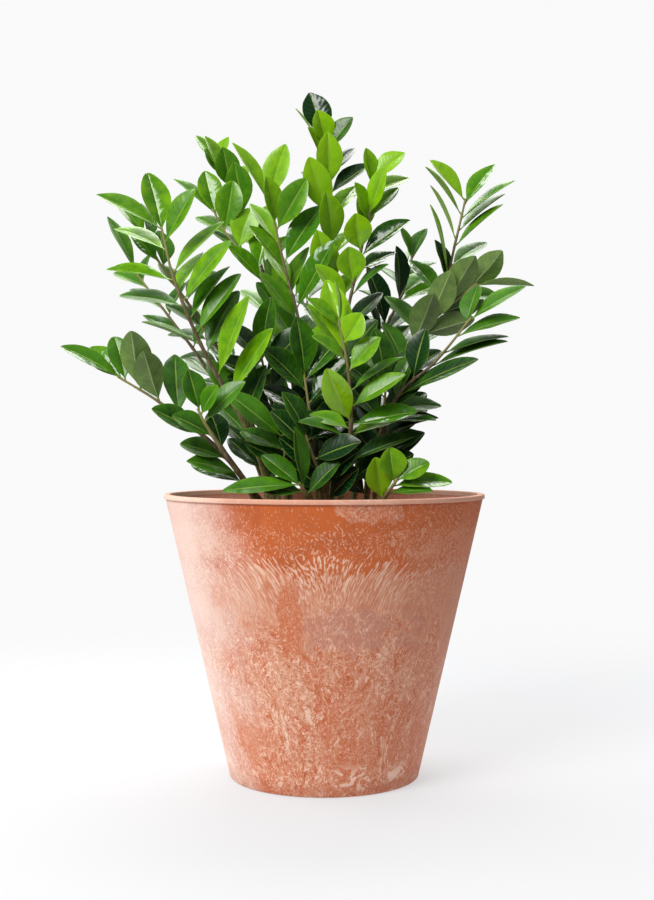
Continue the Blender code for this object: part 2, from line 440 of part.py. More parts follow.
def make_pot():
    """The tapered pot with its rim band, chamfered foot and drain holes."""
    band = POT_HEIGHT - RIM_BAND
    edge = RIM_BAND * 0.3
    profile = [
        (0, 0),
        (BASE_RADIUS - BASE_CHAMFER, 0),
        (pot_outside(BASE_CHAMFER), BASE_CHAMFER),
        (pot_outside(band - edge), band - edge),
        (RIM_RADIUS, band),
        (RIM_RADIUS, POT_HEIGHT - edge),
        (RIM_RADIUS - edge, POT_HEIGHT),
        (pot_inside(POT_HEIGHT) + edge, POT_HEIGHT),
        (pot_inside(POT_HEIGHT), POT_HEIGHT - edge),
        (pot_inside(FLOOR), FLOOR),
        (0, FLOOR),
    ]
    pot = new_object("pot", mesh_from("pot", *turned(profile, POT_SIDES)), (0.52, 0.15, 0.075), 0.55)
    holes = []
    for index in range(DRAIN_HOLES):
        turn = math.tau * (index + 0.5) / DRAIN_HOLES
        x, y = DRAIN_HOLE_CIRCLE * math.cos(turn), DRAIN_HOLE_CIRCLE * math.sin(turn)
        holes.append(peg(x, y, -FLOOR, 2 * FLOOR, DRAIN_HOLE_RADIUS))
    cut(pot, cutter("drain_hole_cutter", holes))
    return pot


def make_screen():
    """The plastic net that keeps the gravel out of the drain holes."""
    low = FLOOR + FIT
    disc = turned([(0, low), (SCREEN_RADIUS, low), (SCREEN_RADIUS, low + SCREEN_THICKNESS),
                   (0, low + SCREEN_THICKNESS)], 24)
    screen = new_object("drain_screen", mesh_from("drain_screen", *disc), (0.03, 0.03, 0.03), 0.5)
    holes = []
    for circle, count in ((0.35, 5), (0.7, 9)):
        for index in range(count):
            turn = math.tau * index / count
            x = circle * SCREEN_RADIUS * math.cos(turn)
            y = circle * SCREEN_RADIUS * math.sin(turn)
            holes.append(peg(x, y, low - FIT, low + SCREEN_THICKNESS + FIT, SCREEN_HOLE_RADIUS, 5))
    cut(screen, cutter("screen_hole_cutter", holes))
    return screen


def soil_bumps(x, y, height):
    """The gentle bumps of a raked soil surface, only on its top."""
    if height < SOIL_TOP:
        return 0.0
    return SOIL_UNEVENNESS * (math.sin(90 * x + 1) * math.cos(75 * y) - 0.6)


def make_gravel():
    """The drainage layer under the soil."""
    low = FLOOR + FIT + SCREEN_THICKNESS + FIT
    high = low + GRAVEL_DEPTH
    profile = [(0, low), (pot_inside(low) - FIT, low), (pot_inside(high) - FIT, high), (0, high)]
    mesh = mesh_from("drainage_gravel", *turned(profile, POT_SIDES))
    return new_object("drainage_gravel", mesh, (0.35, 0.33, 0.30), 0.9)


def rhizome_lump(x, y, grown=0.0):
    """A knobbly tuber as points and faces; `grown` adds to it all round."""
    sides, rings = 10, 6
    middle = SOIL_TOP + RHIZOME_PROUD - RHIZOME_HALF_HEIGHT
    wide, tall = RHIZOME_HALF_WIDTH + grown, RHIZOME_HALF_HEIGHT + grown
    profile = [(wide * math.sin(math.pi * ring / rings), -tall * math.cos(math.pi * ring / rings))
               for ring in range(rings + 1)]
    points, faces = turned(profile, sides)
    lumpy = []
    for point in points:
        turn = math.atan2(point.y, point.x)
        swell = 1 + 0.05 * math.sin(3 * turn + 40 * x) + 0.03 * math.sin(5 * turn + 60 * y)
        lumpy.append(Vector((x + point.x * swell, y + point.y * swell, middle + point.z)))
    return lumpy, faces


def socket(foot):
    """The hole that takes the foot of one stalk."""
    low = SOIL_TOP - SOCKET_DEPTH - FIT
    high = SOIL_TOP + RHIZOME_PROUD + SOCKET_DEPTH
    return peg(foot[0], foot[1], low, high, STALK_FOOT_RADIUS + FIT, 8)


def make_soil():
    """Potting soil up to the headspace, with a pocket round each rhizome and room for each stalk."""
    low = FLOOR + FIT + SCREEN_THICKNESS + FIT + GRAVEL_DEPTH + FIT
    shoulder = SOIL_TOP - 2 * SOIL_UNEVENNESS
    edge = pot_inside(shoulder) - FIT
    profile = [(0, low), (pot_inside(low) - FIT, low), (edge, shoulder)]
    rings = 4
    for ring in range(rings):
        profile.append((edge * (1 - ring / rings) - FIT, SOIL_TOP))
    profile.append((0, SOIL_TOP + soil_bumps(0, 0, SOIL_TOP)))
    mesh = mesh_from("soil", *turned(profile, SOIL_SIDES, soil_bumps))
    soil = new_object("soil", mesh, (0.05, 0.032, 0.02), 0.95)
    pockets = [rhizome_lump(x, y, FIT) for x, y in RHIZOMES.values()]
    cut(soil, cutter("soil_pocket_cutter", pockets))
    cut(soil, cutter("stalk_clearance_cutter", [socket(foot) for foot, _, _ in FRONDS.values()]))
    return soil


def make_rhizomes():
    """The tubers that the fronds grow from."""
    feet = [foot for foot, _, _ in FRONDS.values()]
    for name, (x, y) in RHIZOMES.items():
        item = new_object(f"rhizome_{name}", mesh_from(name, *rhizome_lump(x, y)), (0.32, 0.24, 0.14), 0.8)
        held = [foot for foot in feet if math.hypot(foot[0] - x, foot[1] - y) < RHIZOME_HALF_WIDTH]
        cut(item, cutter(f"socket_cutter_{name}", [socket(foot) for foot in held]))


# ---- fronds ----

class Stem:
    """A smooth stem from its foot to its tip, measured along its length."""

    def __init__(self, foot, points):
        foot_low = (foot[0], foot[1], SOIL_TOP - SOCKET_DEPTH)
        foot_high = (foot[0], foot[1], SOIL_TOP + RHIZOME_PROUD + STALK_STRAIGHT)
        raised = [(x * PLANT_SCALE, y * PLANT_SCALE, POT_HEIGHT + rise * PLANT_SCALE)
                  for x, y, rise in points]
        self.line = self.smooth([np.array(p) for p in [foot_low, foot_high] + raised])
        gaps = np.linalg.norm(np.diff(self.line, axis=0), axis=1)
        self.along = np.concatenate([[0.0], np.cumsum(gaps)])
        self.length = self.along[-1]

    @staticmethod
    def smooth(knots):
        """Draw a curve through the knots, straight at its foot."""
        steps = 12
        line = [knots[0]]
        slopes = []
        for index in range(len(knots)):
            before, after = knots[max(index - 1, 0)], knots[min(index + 1, len(knots) - 1)]
            slopes.append((after - before) / np.linalg.norm(after - before))
        slopes[0] = slopes[1] = np.array((0.0, 0.0, 1.0))
        for index in range(len(knots) - 1):
            start, end = knots[index], knots[index + 1]
            reach = np.linalg.norm(end - start)
            for step in range(1, steps + 1):
                t = step / steps
                line.append((2 * t**3 - 3 * t**2 + 1) * start + (t**3 - 2 * t**2 + t) * reach * slopes[index]
                            + (3 * t**2 - 2 * t**3) * end + (t**3 - t**2) * reach * slopes[index + 1])
        return np.array(line)

    def point(self, distance):
        return Vector([np.interp(distance, self.along, self.line[:, axis]) for axis in range(3)])

    def direction(self, distance):
        near = 0.002
        low, high = max(distance - near, 0.0), min(distance + near, self.length)
        return (self.point(high) - self.point(low)).normalized()

    def distance_at(self, rise):
        """Distance along the stem to a rise above the rim."""
        return float(np.interp(POT_HEIGHT + rise * PLANT_SCALE, self.line[:, 2], self.along))


def across(direction, sides, turn=0.0):
    """Unit vectors round a direction, anticlockwise, the first one towards the front."""
    first = Vector((0, -1, 0))
    first = (first - direction * first.dot(direction)).normalized()
    second = direction.cross(first)
    angles = [math.tau * side / sides + turn for side in range(sides)]
    return [first * math.cos(angle) + second * math.sin(angle) for angle in angles]


def leaflet_frame(heading, lean, facing):
    """Direction of a leaflet's midrib, its upper normal, and its side vector."""
    heading, lean, facing = math.radians(heading), math.radians(lean), math.radians(facing)
    along = Vector((math.sin(heading) * math.cos(lean), -math.sin(lean), math.cos(heading) * math.cos(lean)))
    front = Vector((0, -1, 0))
    front = (front - along * front.dot(along)).normalized()
    upper = along.cross(front)
    if upper.z < 0:
        upper = -upper
    normal = front * math.cos(facing) + upper * math.sin(facing)
    return along, normal, normal.cross(along)


def leaflet_half_width(u, width):
    """Half width of a leaflet at u, 0 at its stalklet and 1 at its tip, widest a little past its middle."""
    return 0.5 * width * math.sin(math.pi * u**LEAFLET_WIDEST) ** LEAFLET_BLUNTNESS


def leaflet_sections(base, leaflet, extra=0.0, stations=LEAFLET_STATIONS):
    """Four-cornered sections along a leaflet (side, top, side, bottom), and its tip."""
    heading, lean, facing, length, width = leaflet
    along, normal, side = leaflet_frame(heading, lean, facing)
    sections = []
    for u in stations:
        centre = base + along * length * u - normal * LEAFLET_CURVE * length * u * u
        half = leaflet_half_width(u, width) if u > 0.2 else LEAFLET_THICKNESS
        lift = normal * LEAFLET_FOLD * half
        thick = normal * (0.5 * LEAFLET_THICKNESS + extra)
        half += extra
        sections.append([centre + side * half + lift, centre + thick, centre - side * half + lift,
                         centre - thick])
    tip = base + along * (length + extra) - normal * LEAFLET_CURVE * length
    return sections, tip


def join_sections(points, faces, lower, upper):
    """Skin between two four-cornered sections, given as index lists."""
    for corner in range(4):
        after = (corner + 1) % 4
        a, b, c, d = lower[corner], lower[after], upper[after], upper[corner]
        if corner % 2 == 0:
            faces += [(a, b, c), (a, c, d)]
        else:
            faces += [(a, b, d), (b, c, d)]


def leaflet_solid(base, leaflet, extra, stations):
    """A leaflet alone, `extra` fatter than it is, as points and faces."""
    sections, tip = leaflet_sections(base, leaflet, extra, stations)
    points, faces = [], []
    rings = []
    for section in sections:
        rings.append([len(points) + corner for corner in range(4)])
        points += section
    faces.append(tuple(reversed(rings[0])))
    for lower, upper in zip(rings, rings[1:]):
        join_sections(points, faces, lower, upper)
    points.append(tip)
    faces += [(rings[-1][corner], rings[-1][(corner + 1) % 4], len(points) - 1) for corner in range(4)]
    return points, faces


def stalk_radius(stem, distance, split):
    """Radius of a stem: a stout stalk up to `split`, then a thinning rachis."""
    if distance <= split:
        return STALK_FOOT_RADIUS + (STALK_TOP_RADIUS - STALK_FOOT_RADIUS) * distance / split
    part = (distance - split) / (stem.length - split)
    return STALK_TOP_RADIUS + (RACHIS_TIP_RADIUS - STALK_TOP_RADIUS) * part


def tube_ring(stem, distance, split, sides):
    """One ring of points round the stem."""
    centre = stem.point(distance)
    radius = stalk_radius(stem, distance, split)
    return [centre + way * radius for way in across(stem.direction(distance), sides)]


def side_faces(ring, sides):
    """The quads between a ring and the next one."""
    low, high = ring * sides, (ring + 1) * sides
    afters = [(side + 1) % sides for side in range(sides)]
    return [(low + side, low + after, high + after, high + side) for side, after in enumerate(afters)]


def end_faces(rings, sides):
    """The two ends of a tube."""
    top = (rings - 1) * sides
    return [tuple(reversed(range(sides))), tuple(range(top, top + sides))]


def tube_mesh(stem, split, distances, sides):
    """A closed tube along the stem, with a ring at each distance."""
    points, faces = [], []
    for distance in distances:
        points += tube_ring(stem, distance, split, sides)
    for ring in range(len(distances) - 1):
        faces += side_faces(ring, sides)
    return points, faces + end_faces(len(distances), sides)


def blade_mesh(stem, split, bases, leaflets):
    """The rachis with its leaflets as one closed skin; each leaflet grows out of one side face."""
    distances = [split + FIT]
    for base in sorted(bases):
        if base - LEAFLET_HALF_BASE - distances[-1] > LONGEST_RUN:
            distances.append((base + distances[-1]) / 2)
        distances += [base - LEAFLET_HALF_BASE, base + LEAFLET_HALF_BASE]
    distances.append(stem.length)
    points, faces = [], []
    for distance in distances:
        points += tube_ring(stem, distance, split, RACHIS_SIDES)
    order = {round(base, 6): (sections, tip) for base, (sections, tip) in zip(bases, leaflets)}
    for ring in range(len(distances) - 1):
        middle = round((distances[ring] + distances[ring + 1]) / 2, 6)
        grown = order.get(middle)
        quads = side_faces(ring, RACHIS_SIDES)
        if grown:
            sections, tip = grown
            centre = stem.point(middle)
            reach = sections[0][1] - centre
            quads.sort(key=lambda quad: sum((points[i] - centre for i in quad), Vector()).dot(reach))
            root = quads.pop()
            rings = [list(root)]
            for section in sections:
                rings.append([len(points) + corner for corner in range(4)])
                points += section
            turns = range(4)
            shift = min(turns, key=lambda turn: sum(
                (points[root[corner]] - points[rings[1][(corner + turn) % 4]]).length for corner in turns))
            rings[0] = [root[(corner - shift) % 4] for corner in turns]
            for lower, upper in zip(rings, rings[1:]):
                join_sections(points, faces, lower, upper)
            points.append(tip)
            last = rings[-1]
            faces += [(last[corner], last[(corner + 1) % 4], len(points) - 1) for corner in turns]
        faces += quads
    return points, faces + end_faces(len(distances), RACHIS_SIDES)


class Crowd:
    """Everything placed so far, for finding a leaflet a clear place."""

    def __init__(self):
        self.points = []
        self.faces = []
        self.tree = None

    def add(self, points, faces):
        start = len(self.points)
        self.points += list(points)
        self.faces += [tuple(start + index for index in face) for face in faces]
        self.tree = None

    def meets(self, points, faces):
        if self.tree is None:
            self.tree = BVHTree.FromPolygons(self.points, self.faces)
        return len(self.tree.overlap(BVHTree.FromPolygons(points, faces)))


def place_leaflet(crowd, own_stem, base, wanted):
    """The first clear sidestep of a leaflet, or the one that meets least."""
    best = None
    whole = (LEAFLET_ROOT,) + LEAFLET_STATIONS
    heading, lean, length, width, facing = wanted
    for step in SIDESTEPS:
        shrink = step[3]
        tried = (heading + step[0], lean + step[1], facing + step[2], length * shrink, width * shrink**0.5)
        hits = crowd.meets(*leaflet_solid(base, tried, LEAFLET_AIR, whole))
        hits += own_stem.meets(*leaflet_solid(base, tried, LEAFLET_AIR, LEAFLET_STATIONS[1:]))
        if best is None or hits < best[0]:
            best = (hits, tried)
        if hits == 0:
            break
    crowd.add(*leaflet_solid(base, best[1], 0.0, whole))
    return best[1]


def make_fronds(obstacles):
    """Grow every frond: stalks first, then leaflets frond by frond where there is room."""
    crowd = Crowd()
    for points, faces in obstacles:
        crowd.add(points, faces)
    stems = {}
    for name, (foot, points, leaflets) in FRONDS.items():
        stem = Stem(foot, points)
        lowest = min(leaflet[0] for leaflet in leaflets)
        split = stem.distance_at(lowest) - BARE_STALK
        tube = Crowd()
        tube.add(*tube_mesh(stem, split, np.linspace(0.0, stem.length, STEM_RINGS), RACHIS_SIDES))
        stems[name] = (stem, split, tube)
    for name, (_, _, leaflets) in FRONDS.items():
        stem, split, own = stems[name]
        others = Crowd()
        others.add(crowd.points, crowd.faces)
        for other, (_, _, tube) in stems.items():
            if other != name:
                others.add(tube.points, tube.faces)
        limit = stem.length - LEAFLET_HALF_BASE - TIP_STUB
        bases, placed = [], []
        for rise, heading, lean, length, width, facing in sorted(leaflets, reverse=True):
            base = min(stem.distance_at(rise), limit)
            limit = base - LEAFLET_SPACING
            along, normal, _ = leaflet_frame(heading, lean, facing)
            direction = stem.direction(base)
            outward = (along - direction * along.dot(direction)).normalized()
            root = stem.point(base) + outward * stalk_radius(stem, base, split) * 0.8
            wanted = (heading, lean, length * PLANT_SCALE, width * PLANT_SCALE, facing)
            grown = place_leaflet(others, own, root, wanted)
            crowd.add(*leaflet_solid(root, grown, 0.0, (LEAFLET_ROOT,) + LEAFLET_STATIONS))
            bases.append(base)
            placed.append(leaflet_sections(root, grown))
        straight = SOCKET_DEPTH + RHIZOME_PROUD + STALK_STRAIGHT
        steps = max(3, round((split - straight) / STALK_STEP))
        distances = [0.0] + list(np.linspace(straight, split, steps + 1))
        stalk = mesh_from(name, *tube_mesh(stem, split, distances, STALK_SIDES))
        stalk.shade_smooth()
        new_object(f"{name}_frond_stalk", stalk, (0.20, 0.17, 0.06), 0.5)
        blade = mesh_from(name, *blade_mesh(stem, split, bases, placed))
        new_object(f"{name}_frond_leaflets", blade, (0.08, 0.22, 0.03), 0.35)


def main():
    for item in list(bpy.data.objects):
        bpy.data.objects.remove(item, do_unlink=True)
    pot = make_pot()
    make_screen()
    make_gravel()
    make_soil()
    make_rhizomes()
    pot_points = [vertex.co.copy() for vertex in pot.data.vertices]
    pot_faces = [tuple(polygon.vertices) for polygon in pot.data.polygons]
    soil_sheet = turned([(0, SOIL_TOP), (RIM_RADIUS, SOIL_TOP), (0, SOIL_TOP + RHIZOME_PROUD)], 24)
    make_fronds([(pot_points, pot_faces), soil_sheet])


main()
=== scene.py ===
"""The finished look of a potted ZZ plant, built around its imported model."""
import math
import random

import bmesh
import bpy
import numpy as np
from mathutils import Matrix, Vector, noise
from mathutils.kdtree import KDTree


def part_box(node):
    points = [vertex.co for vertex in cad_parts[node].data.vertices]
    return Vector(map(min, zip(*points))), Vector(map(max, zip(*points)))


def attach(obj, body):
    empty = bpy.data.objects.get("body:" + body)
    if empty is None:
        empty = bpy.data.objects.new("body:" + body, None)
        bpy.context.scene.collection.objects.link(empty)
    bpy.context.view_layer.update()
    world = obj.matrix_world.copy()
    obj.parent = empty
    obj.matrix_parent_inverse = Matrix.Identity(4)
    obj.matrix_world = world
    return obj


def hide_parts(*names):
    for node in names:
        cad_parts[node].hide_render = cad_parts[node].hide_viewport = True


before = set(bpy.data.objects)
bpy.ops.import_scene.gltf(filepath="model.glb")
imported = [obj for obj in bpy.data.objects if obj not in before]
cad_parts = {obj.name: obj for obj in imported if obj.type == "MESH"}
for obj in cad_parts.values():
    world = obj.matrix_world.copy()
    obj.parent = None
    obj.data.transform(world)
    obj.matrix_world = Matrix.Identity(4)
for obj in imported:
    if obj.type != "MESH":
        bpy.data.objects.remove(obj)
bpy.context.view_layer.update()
scene = bpy.context.scene


# ---- Pot ----
# A straight-tapered planter, turned and cast in a marbled blend of resin and ground stone the colour
# of terracotta.  It is one shell with a thin flat band round its rim, a small chamfer at its foot and
# four drain holes, and its swirls and brush-like streaks are in the cast skin itself.

pot_low, pot_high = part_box("pot")
pot_height = pot_high.z
rim_radius = pot_high.x
base_radius = 0.097
pot_wall = 0.006
pot_floor = 0.008
band_height = 0.0045
band_proud = 0.0008
foot_chamfer = 0.0025
drain_hole_radius = 0.006
drain_hole_circle = 0.045

clay_orange = (0.560, 0.128, 0.034)
clay_deep = (0.370, 0.074, 0.020)
clay_pink = (0.660, 0.285, 0.165)
band_base = (0.590, 0.215, 0.115)
clay_mauve = (0.510, 0.200, 0.140)
clay_cream = (0.900, 0.620, 0.480)
clay_fleck = (0.820, 0.460, 0.310)
# the pale tint of the painted highlight on the pot's left side
sheen_painted_pale = (0.850, 0.800, 0.770)
inside_pink = (0.860, 0.310, 0.190)
under_rim = (0.600, 0.126, 0.020)


def link_object(name, mesh):
    """Show a mesh as an object of its own."""
    item = bpy.data.objects.new(name, mesh)
    scene.collection.objects.link(item)
    return item


def dress(item, material, slot, *nodes):
    """Give a piece its material, hang it under the root and hide the imported solids that it stands for; slot is not
    used.
    """
    item.data.materials.clear()
    item.data.materials.append(material)
    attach(item, "root")
    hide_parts(*nodes)


class Recipe:
    """A material and short ways to add nodes to it; inputs are numbers, colours or other outputs."""

    def __init__(self, name):
        self.material = bpy.data.materials.new(name)
        self.material.use_nodes = True
        self.tree = self.material.node_tree
        self.shader = self.tree.nodes["Principled BSDF"]

    def put(self, socket, value):
        if isinstance(value, bpy.types.NodeSocket):
            self.tree.links.new(value, socket)
        elif isinstance(value, tuple) and len(value) == 3 and socket.type == "RGBA":
            socket.default_value = (*value, 1.0)
        else:
            socket.default_value = value

    def add(self, kind, output, inputs, **settings):
        node = self.tree.nodes.new(kind)
        for key, value in settings.items():
            setattr(node, key, value)
        for key, value in inputs.items():
            self.put(node.inputs[key], value)
        return node.outputs[output]

    def sum(self, a, b):
        return self.add("ShaderNodeMath", 0, {0: a, 1: b}, operation="ADD")

    def times(self, a, b):
        return self.add("ShaderNodeMath", 0, {0: a, 1: b}, operation="MULTIPLY")

    def calc(self, operation, a, b=0.0):
        return self.add("ShaderNodeMath", 0, {0: a, 1: b}, operation=operation)

    def rise(self, value, low, high):
        """0 below low, 1 above high, and smooth between."""
        inputs = {"Value": value, "From Min": low, "From Max": high}
        return self.add("ShaderNodeMapRange", 0, inputs, interpolation_type="SMOOTHSTEP")

    def place(self):
        return self.add("ShaderNodeTexCoord", "Object", {})

    def stretch(self, vector, scale):
        return self.add("ShaderNodeMapping", 0, {"Vector": vector, "Scale": scale})

    def noise(self, vector, scale, detail=3.0, roughness=0.5, distortion=0.0, output="Fac"):
        inputs = {"Vector": vector, "Scale": scale, "Detail": detail, "Roughness": roughness,
                  "Distortion": distortion}
        return self.add("ShaderNodeTexNoise", output, inputs)

    def warp(self, vector, scale, strength):
        """Push a vector about by a slow noise."""
        swirl = self.noise(vector, scale, 2.0, output="Color")
        centred = self.add("ShaderNodeVectorMath", 0, {0: swirl, 1: (0.5, 0.5, 0.5)}, operation="SUBTRACT")
        push = self.add("ShaderNodeVectorMath", 0, {0: centred, "Scale": strength}, operation="SCALE")
        return self.add("ShaderNodeVectorMath", 0, {0: vector, 1: push}, operation="ADD")

    def blend(self, amount, first, second):
        """Mix two colours."""
        node = self.tree.nodes.new("ShaderNodeMix")
        node.data_type = "RGBA"
        self.put(node.inputs[0], amount)
        self.put(node.inputs[6], first)
        self.put(node.inputs[7], second)
        return node.outputs[2]

    def bump(self, height, distance, strength=1.0):
        normal = self.add("ShaderNodeBump", 0, {"Height": height, "Distance": distance, "Strength": strength})
        self.tree.links.new(normal, self.shader.inputs["Normal"])

    def finish(self, color, roughness):
        self.put(self.shader.inputs["Base Color"], color)
        self.put(self.shader.inputs["Roughness"], roughness)
        return self.material


def pot_radius(height):
    """Outer radius of the pot's wall at a height."""
    return base_radius + (rim_radius - band_proud - base_radius) * height / pot_height


def turned_mesh(name, profile, sides):
    """Turn an outline round the Z axis; an outline point on the axis becomes a single point."""
    points, faces, rings = [], [], []
    for radius, height in profile:
        if radius == 0:
            rings.append([len(points)] * sides)
            points.append((0, 0, height))
        else:
            rings.append(list(range(len(points), len(points) + sides)))
            turns = [math.tau * side / sides for side in range(sides)]
            points += [(radius * math.cos(turn), radius * math.sin(turn), height) for turn in turns]
    for low, high in zip(rings, rings[1:]):
        for side in range(sides):
            after = (side + 1) % sides
            corners = [low[side], low[after], high[after], high[side]]
            faces.append(tuple(dict.fromkeys(corners)))
    mesh = bpy.data.meshes.new(name)
    mesh.from_pydata(points, [], faces)
    mesh.shade_smooth()
    return mesh


def arc(centre, radius, start, end, steps):
    """Points of a quarter-round edge in an outline; angles in degrees."""
    turns = [math.radians(start + (end - start) * step / steps) for step in range(steps + 1)]
    return [(centre[0] + radius * math.cos(turn), centre[1] + radius * math.sin(turn)) for turn in turns]


def pot_outline():
    """The pot's section, from the middle of its underside, up its outside and down its inside."""
    band_low = pot_height - band_height
    soft = band_proud
    foot = [(0, 0.0), (base_radius * 0.6, 0.0)] + arc(
        (pot_radius(foot_chamfer) - foot_chamfer, foot_chamfer), foot_chamfer, -90, -12, 5)
    wall_rows = 36
    wall = [(pot_radius(z), z) for z in np.linspace(foot_chamfer * 1.6, band_low - 2 * soft, wall_rows)]
    groove = [(pot_radius(band_low) - 0.0003, band_low - soft), (pot_radius(band_low) - 0.0001, band_low)]
    band = arc((rim_radius - soft, band_low + soft), soft, -60, 0, 3) + arc(
        (rim_radius - 1.5 * soft, pot_height - 1.5 * soft), 1.5 * soft, 0, 90, 5)
    lip = arc((rim_radius - pot_wall + 0.5 * soft, pot_height - 1.5 * soft), 1.5 * soft, 90, 180, 5)
    inner = [(pot_radius(z) - pot_wall, z) for z in np.linspace(pot_height - 4 * soft, pot_floor, 12)]
    return [(r, float(z)) for r, z in foot + wall + groove + band + lip + inner] + [(0, pot_floor)]


def cut_drain_holes(pot):
    """Drill the four holes through the pot's floor."""
    cutters = []
    for quarter in range(4):
        turn = math.tau * (quarter + 0.5) / 4
        spot = (drain_hole_circle * math.cos(turn), drain_hole_circle * math.sin(turn), pot_floor / 2)
        bpy.ops.mesh.primitive_cylinder_add(radius=drain_hole_radius, depth=3 * pot_floor, location=spot)
        cutters.append(bpy.context.object)
    for tool in cutters:
        step = pot.modifiers.new("drain hole", "BOOLEAN")
        step.object = tool
        bpy.context.view_layer.objects.active = pot
        bpy.ops.object.modifier_apply(modifier=step.name)
        bpy.data.objects.remove(tool)


def marbled_clay():
    """The cast skin: plain clay under the rim, a brushed pink band, and swirled marbling below it."""
    recipe = Recipe("marbled clay")
    place = recipe.place()
    split = recipe.add("ShaderNodeSeparateXYZ", 0, {"Vector": place}).node.outputs
    x, y, z = split[0], split[1], split[2]
    front = recipe.rise(y, -0.02, -0.07)

    def spot(centre_x, centre_z, half_x, half_z):
        """1 in the middle of a patch on the front, 0 at its edge, and negative outside it."""
        beside = recipe.calc("ABSOLUTE", recipe.times(recipe.sum(x, -centre_x), 1 / half_x))
        above = recipe.calc("ABSOLUTE", recipe.times(recipe.sum(z, -centre_z), 1 / half_z))
        away = recipe.sum(recipe.calc("POWER", beside, 3.0), recipe.calc("POWER", above, 3.0))
        return recipe.calc("SUBTRACT", 1.0, recipe.calc("POWER", away, 0.333))

    def torn(field, noises, raggedness):
        """A patch on the front whose edge is torn by a noise."""
        edge = recipe.sum(field, recipe.times(recipe.sum(noises, -0.5), raggedness))
        return recipe.times(recipe.rise(edge, 0.0, 0.16), front)

    # brush strokes: long across the height and fine across the width, fanning out towards the rim
    fan = recipe.sum(1.0, recipe.times(recipe.calc("MAXIMUM", recipe.sum(z, -0.186), 0.0), -8.5))
    fanned = recipe.add("ShaderNodeCombineXYZ", 0, {"X": recipe.times(x, fan), "Y": y, "Z": z})
    wavy = recipe.warp(recipe.warp(fanned, 13.0, 0.014), 70.0, 0.0030)
    streaks = recipe.noise(recipe.stretch(wavy, (1, 1, 0.08)), 700.0, 1.5, 0.50)
    hairs = recipe.noise(recipe.stretch(wavy, (1, 1, 0.08)), 980.0, 1.0, 0.50)
    wisps = recipe.noise(recipe.stretch(wavy, (1, 1, 0.16)), 120.0, 3.0, 0.55)

    # slow patches of the blend
    slow = recipe.noise(recipe.warp(place, 7.0, 0.05), 11.0, 2.0, 0.5)
    clouds = recipe.noise(recipe.warp(place, 10.0, 0.05), 26.0, 4.0, 0.6)

    # swirled marbling of the lower part, drawn together towards the foot
    drawn = recipe.calc("DIVIDE", x, recipe.sum(recipe.times(z, 5.0), 0.55))
    flowed = recipe.add("ShaderNodeCombineXYZ", 0, {"X": drawn, "Y": y, "Z": recipe.times(z, 0.30)})
    flowed = recipe.warp(recipe.warp(flowed, 15.0, 0.030), 55.0, 0.008)
    flow = recipe.noise(flowed, 70.0, 8.0, 0.72, 0.3)
    swirled = recipe.warp(recipe.warp(recipe.stretch(place, (1, 1, 0.6)), 15.0, 0.060), 55.0, 0.012)
    marble = recipe.noise(swirled, 40.0, 9.0, 0.76, 0.4)
    stipple_place = recipe.warp(recipe.stretch(place, (1, 1, 0.75)), 42.0, 0.022)
    fibres = recipe.noise(stipple_place, 390.0, 3.0, 0.66, 1.1)
    grains = recipe.noise(stipple_place, 640.0, 2.0, 0.6, 0.8)
    vein_field = recipe.noise(swirled, 34.0, 4.0, 0.60, 0.9)
    vein = recipe.calc("ABSOLUTE", recipe.sum(vein_field, -0.5))
    vein_mask = recipe.times(recipe.rise(vein, 0.012, 0.002), recipe.rise(fibres, 0.34, 0.52))
    second_field = recipe.noise(recipe.warp(place, 22.0, 0.04), 58.0, 5.0, 0.62, 1.0)
    second = recipe.calc("ABSOLUTE", recipe.sum(second_field, -0.52))
    second_mask = recipe.rise(second, 0.010, 0.001)

    lower = recipe.blend(recipe.rise(marble, 0.40, 0.60), clay_orange, clay_pink)
    lower = recipe.blend(recipe.times(recipe.rise(flow, 0.50, 0.58), 0.75), lower, clay_pink)
    lower = recipe.blend(recipe.times(recipe.rise(flow, 0.57, 0.66), 0.75), lower, clay_cream)
    lower = recipe.blend(recipe.times(recipe.rise(flow, 0.48, 0.40), 0.85), lower, clay_orange)
    lower = recipe.blend(recipe.times(recipe.rise(fibres, 0.52, 0.64), 0.72), lower, clay_cream)
    lower = recipe.blend(recipe.times(recipe.rise(fibres, 0.46, 0.32), 0.88), lower, clay_deep)
    lower = recipe.blend(recipe.times(recipe.rise(grains, 0.60, 0.68), 0.45), lower, clay_cream)
    low_glow = recipe.times(recipe.rise(slow, 0.49, 0.60), recipe.rise(z, 0.17, 0.03))
    lower = recipe.blend(recipe.times(low_glow, 0.50), lower, clay_orange)
    veins = recipe.calc("MAXIMUM", recipe.times(vein_mask, 0.70), recipe.times(second_mask, 0.42))
    lower = recipe.blend(veins, lower, clay_cream)
    blotch = recipe.times(recipe.rise(second_field, 0.585, 0.610), recipe.rise(z, 0.040, 0.016))
    lower = recipe.blend(recipe.times(blotch, 0.85), lower, clay_cream)

    # flat mauve patches at the foot of the brushed band, the largest on the front
    flat_field = recipe.sum(clouds, recipe.times(recipe.calc("ABSOLUTE", recipe.sum(z, -0.160)), -6.5))
    elsewhere = recipe.times(recipe.rise(flat_field, 0.43, 0.46), recipe.calc("SUBTRACT", 1.0, front))
    rough_edge = recipe.sum(recipe.times(clouds, 0.5), recipe.times(second_field, 0.5))
    mauve_patch = torn(spot(0.030, 0.164, 0.056, 0.021), rough_edge, 3.6)
    flat = recipe.calc("MAXIMUM", elsewhere, mauve_patch)
    flat_color = recipe.blend(recipe.rise(hairs, 0.44, 0.70), clay_mauve, clay_pink)
    flat_color = recipe.blend(recipe.times(recipe.calc("MAXIMUM", vein_mask, second_mask), 0.60), flat_color, clay_cream)

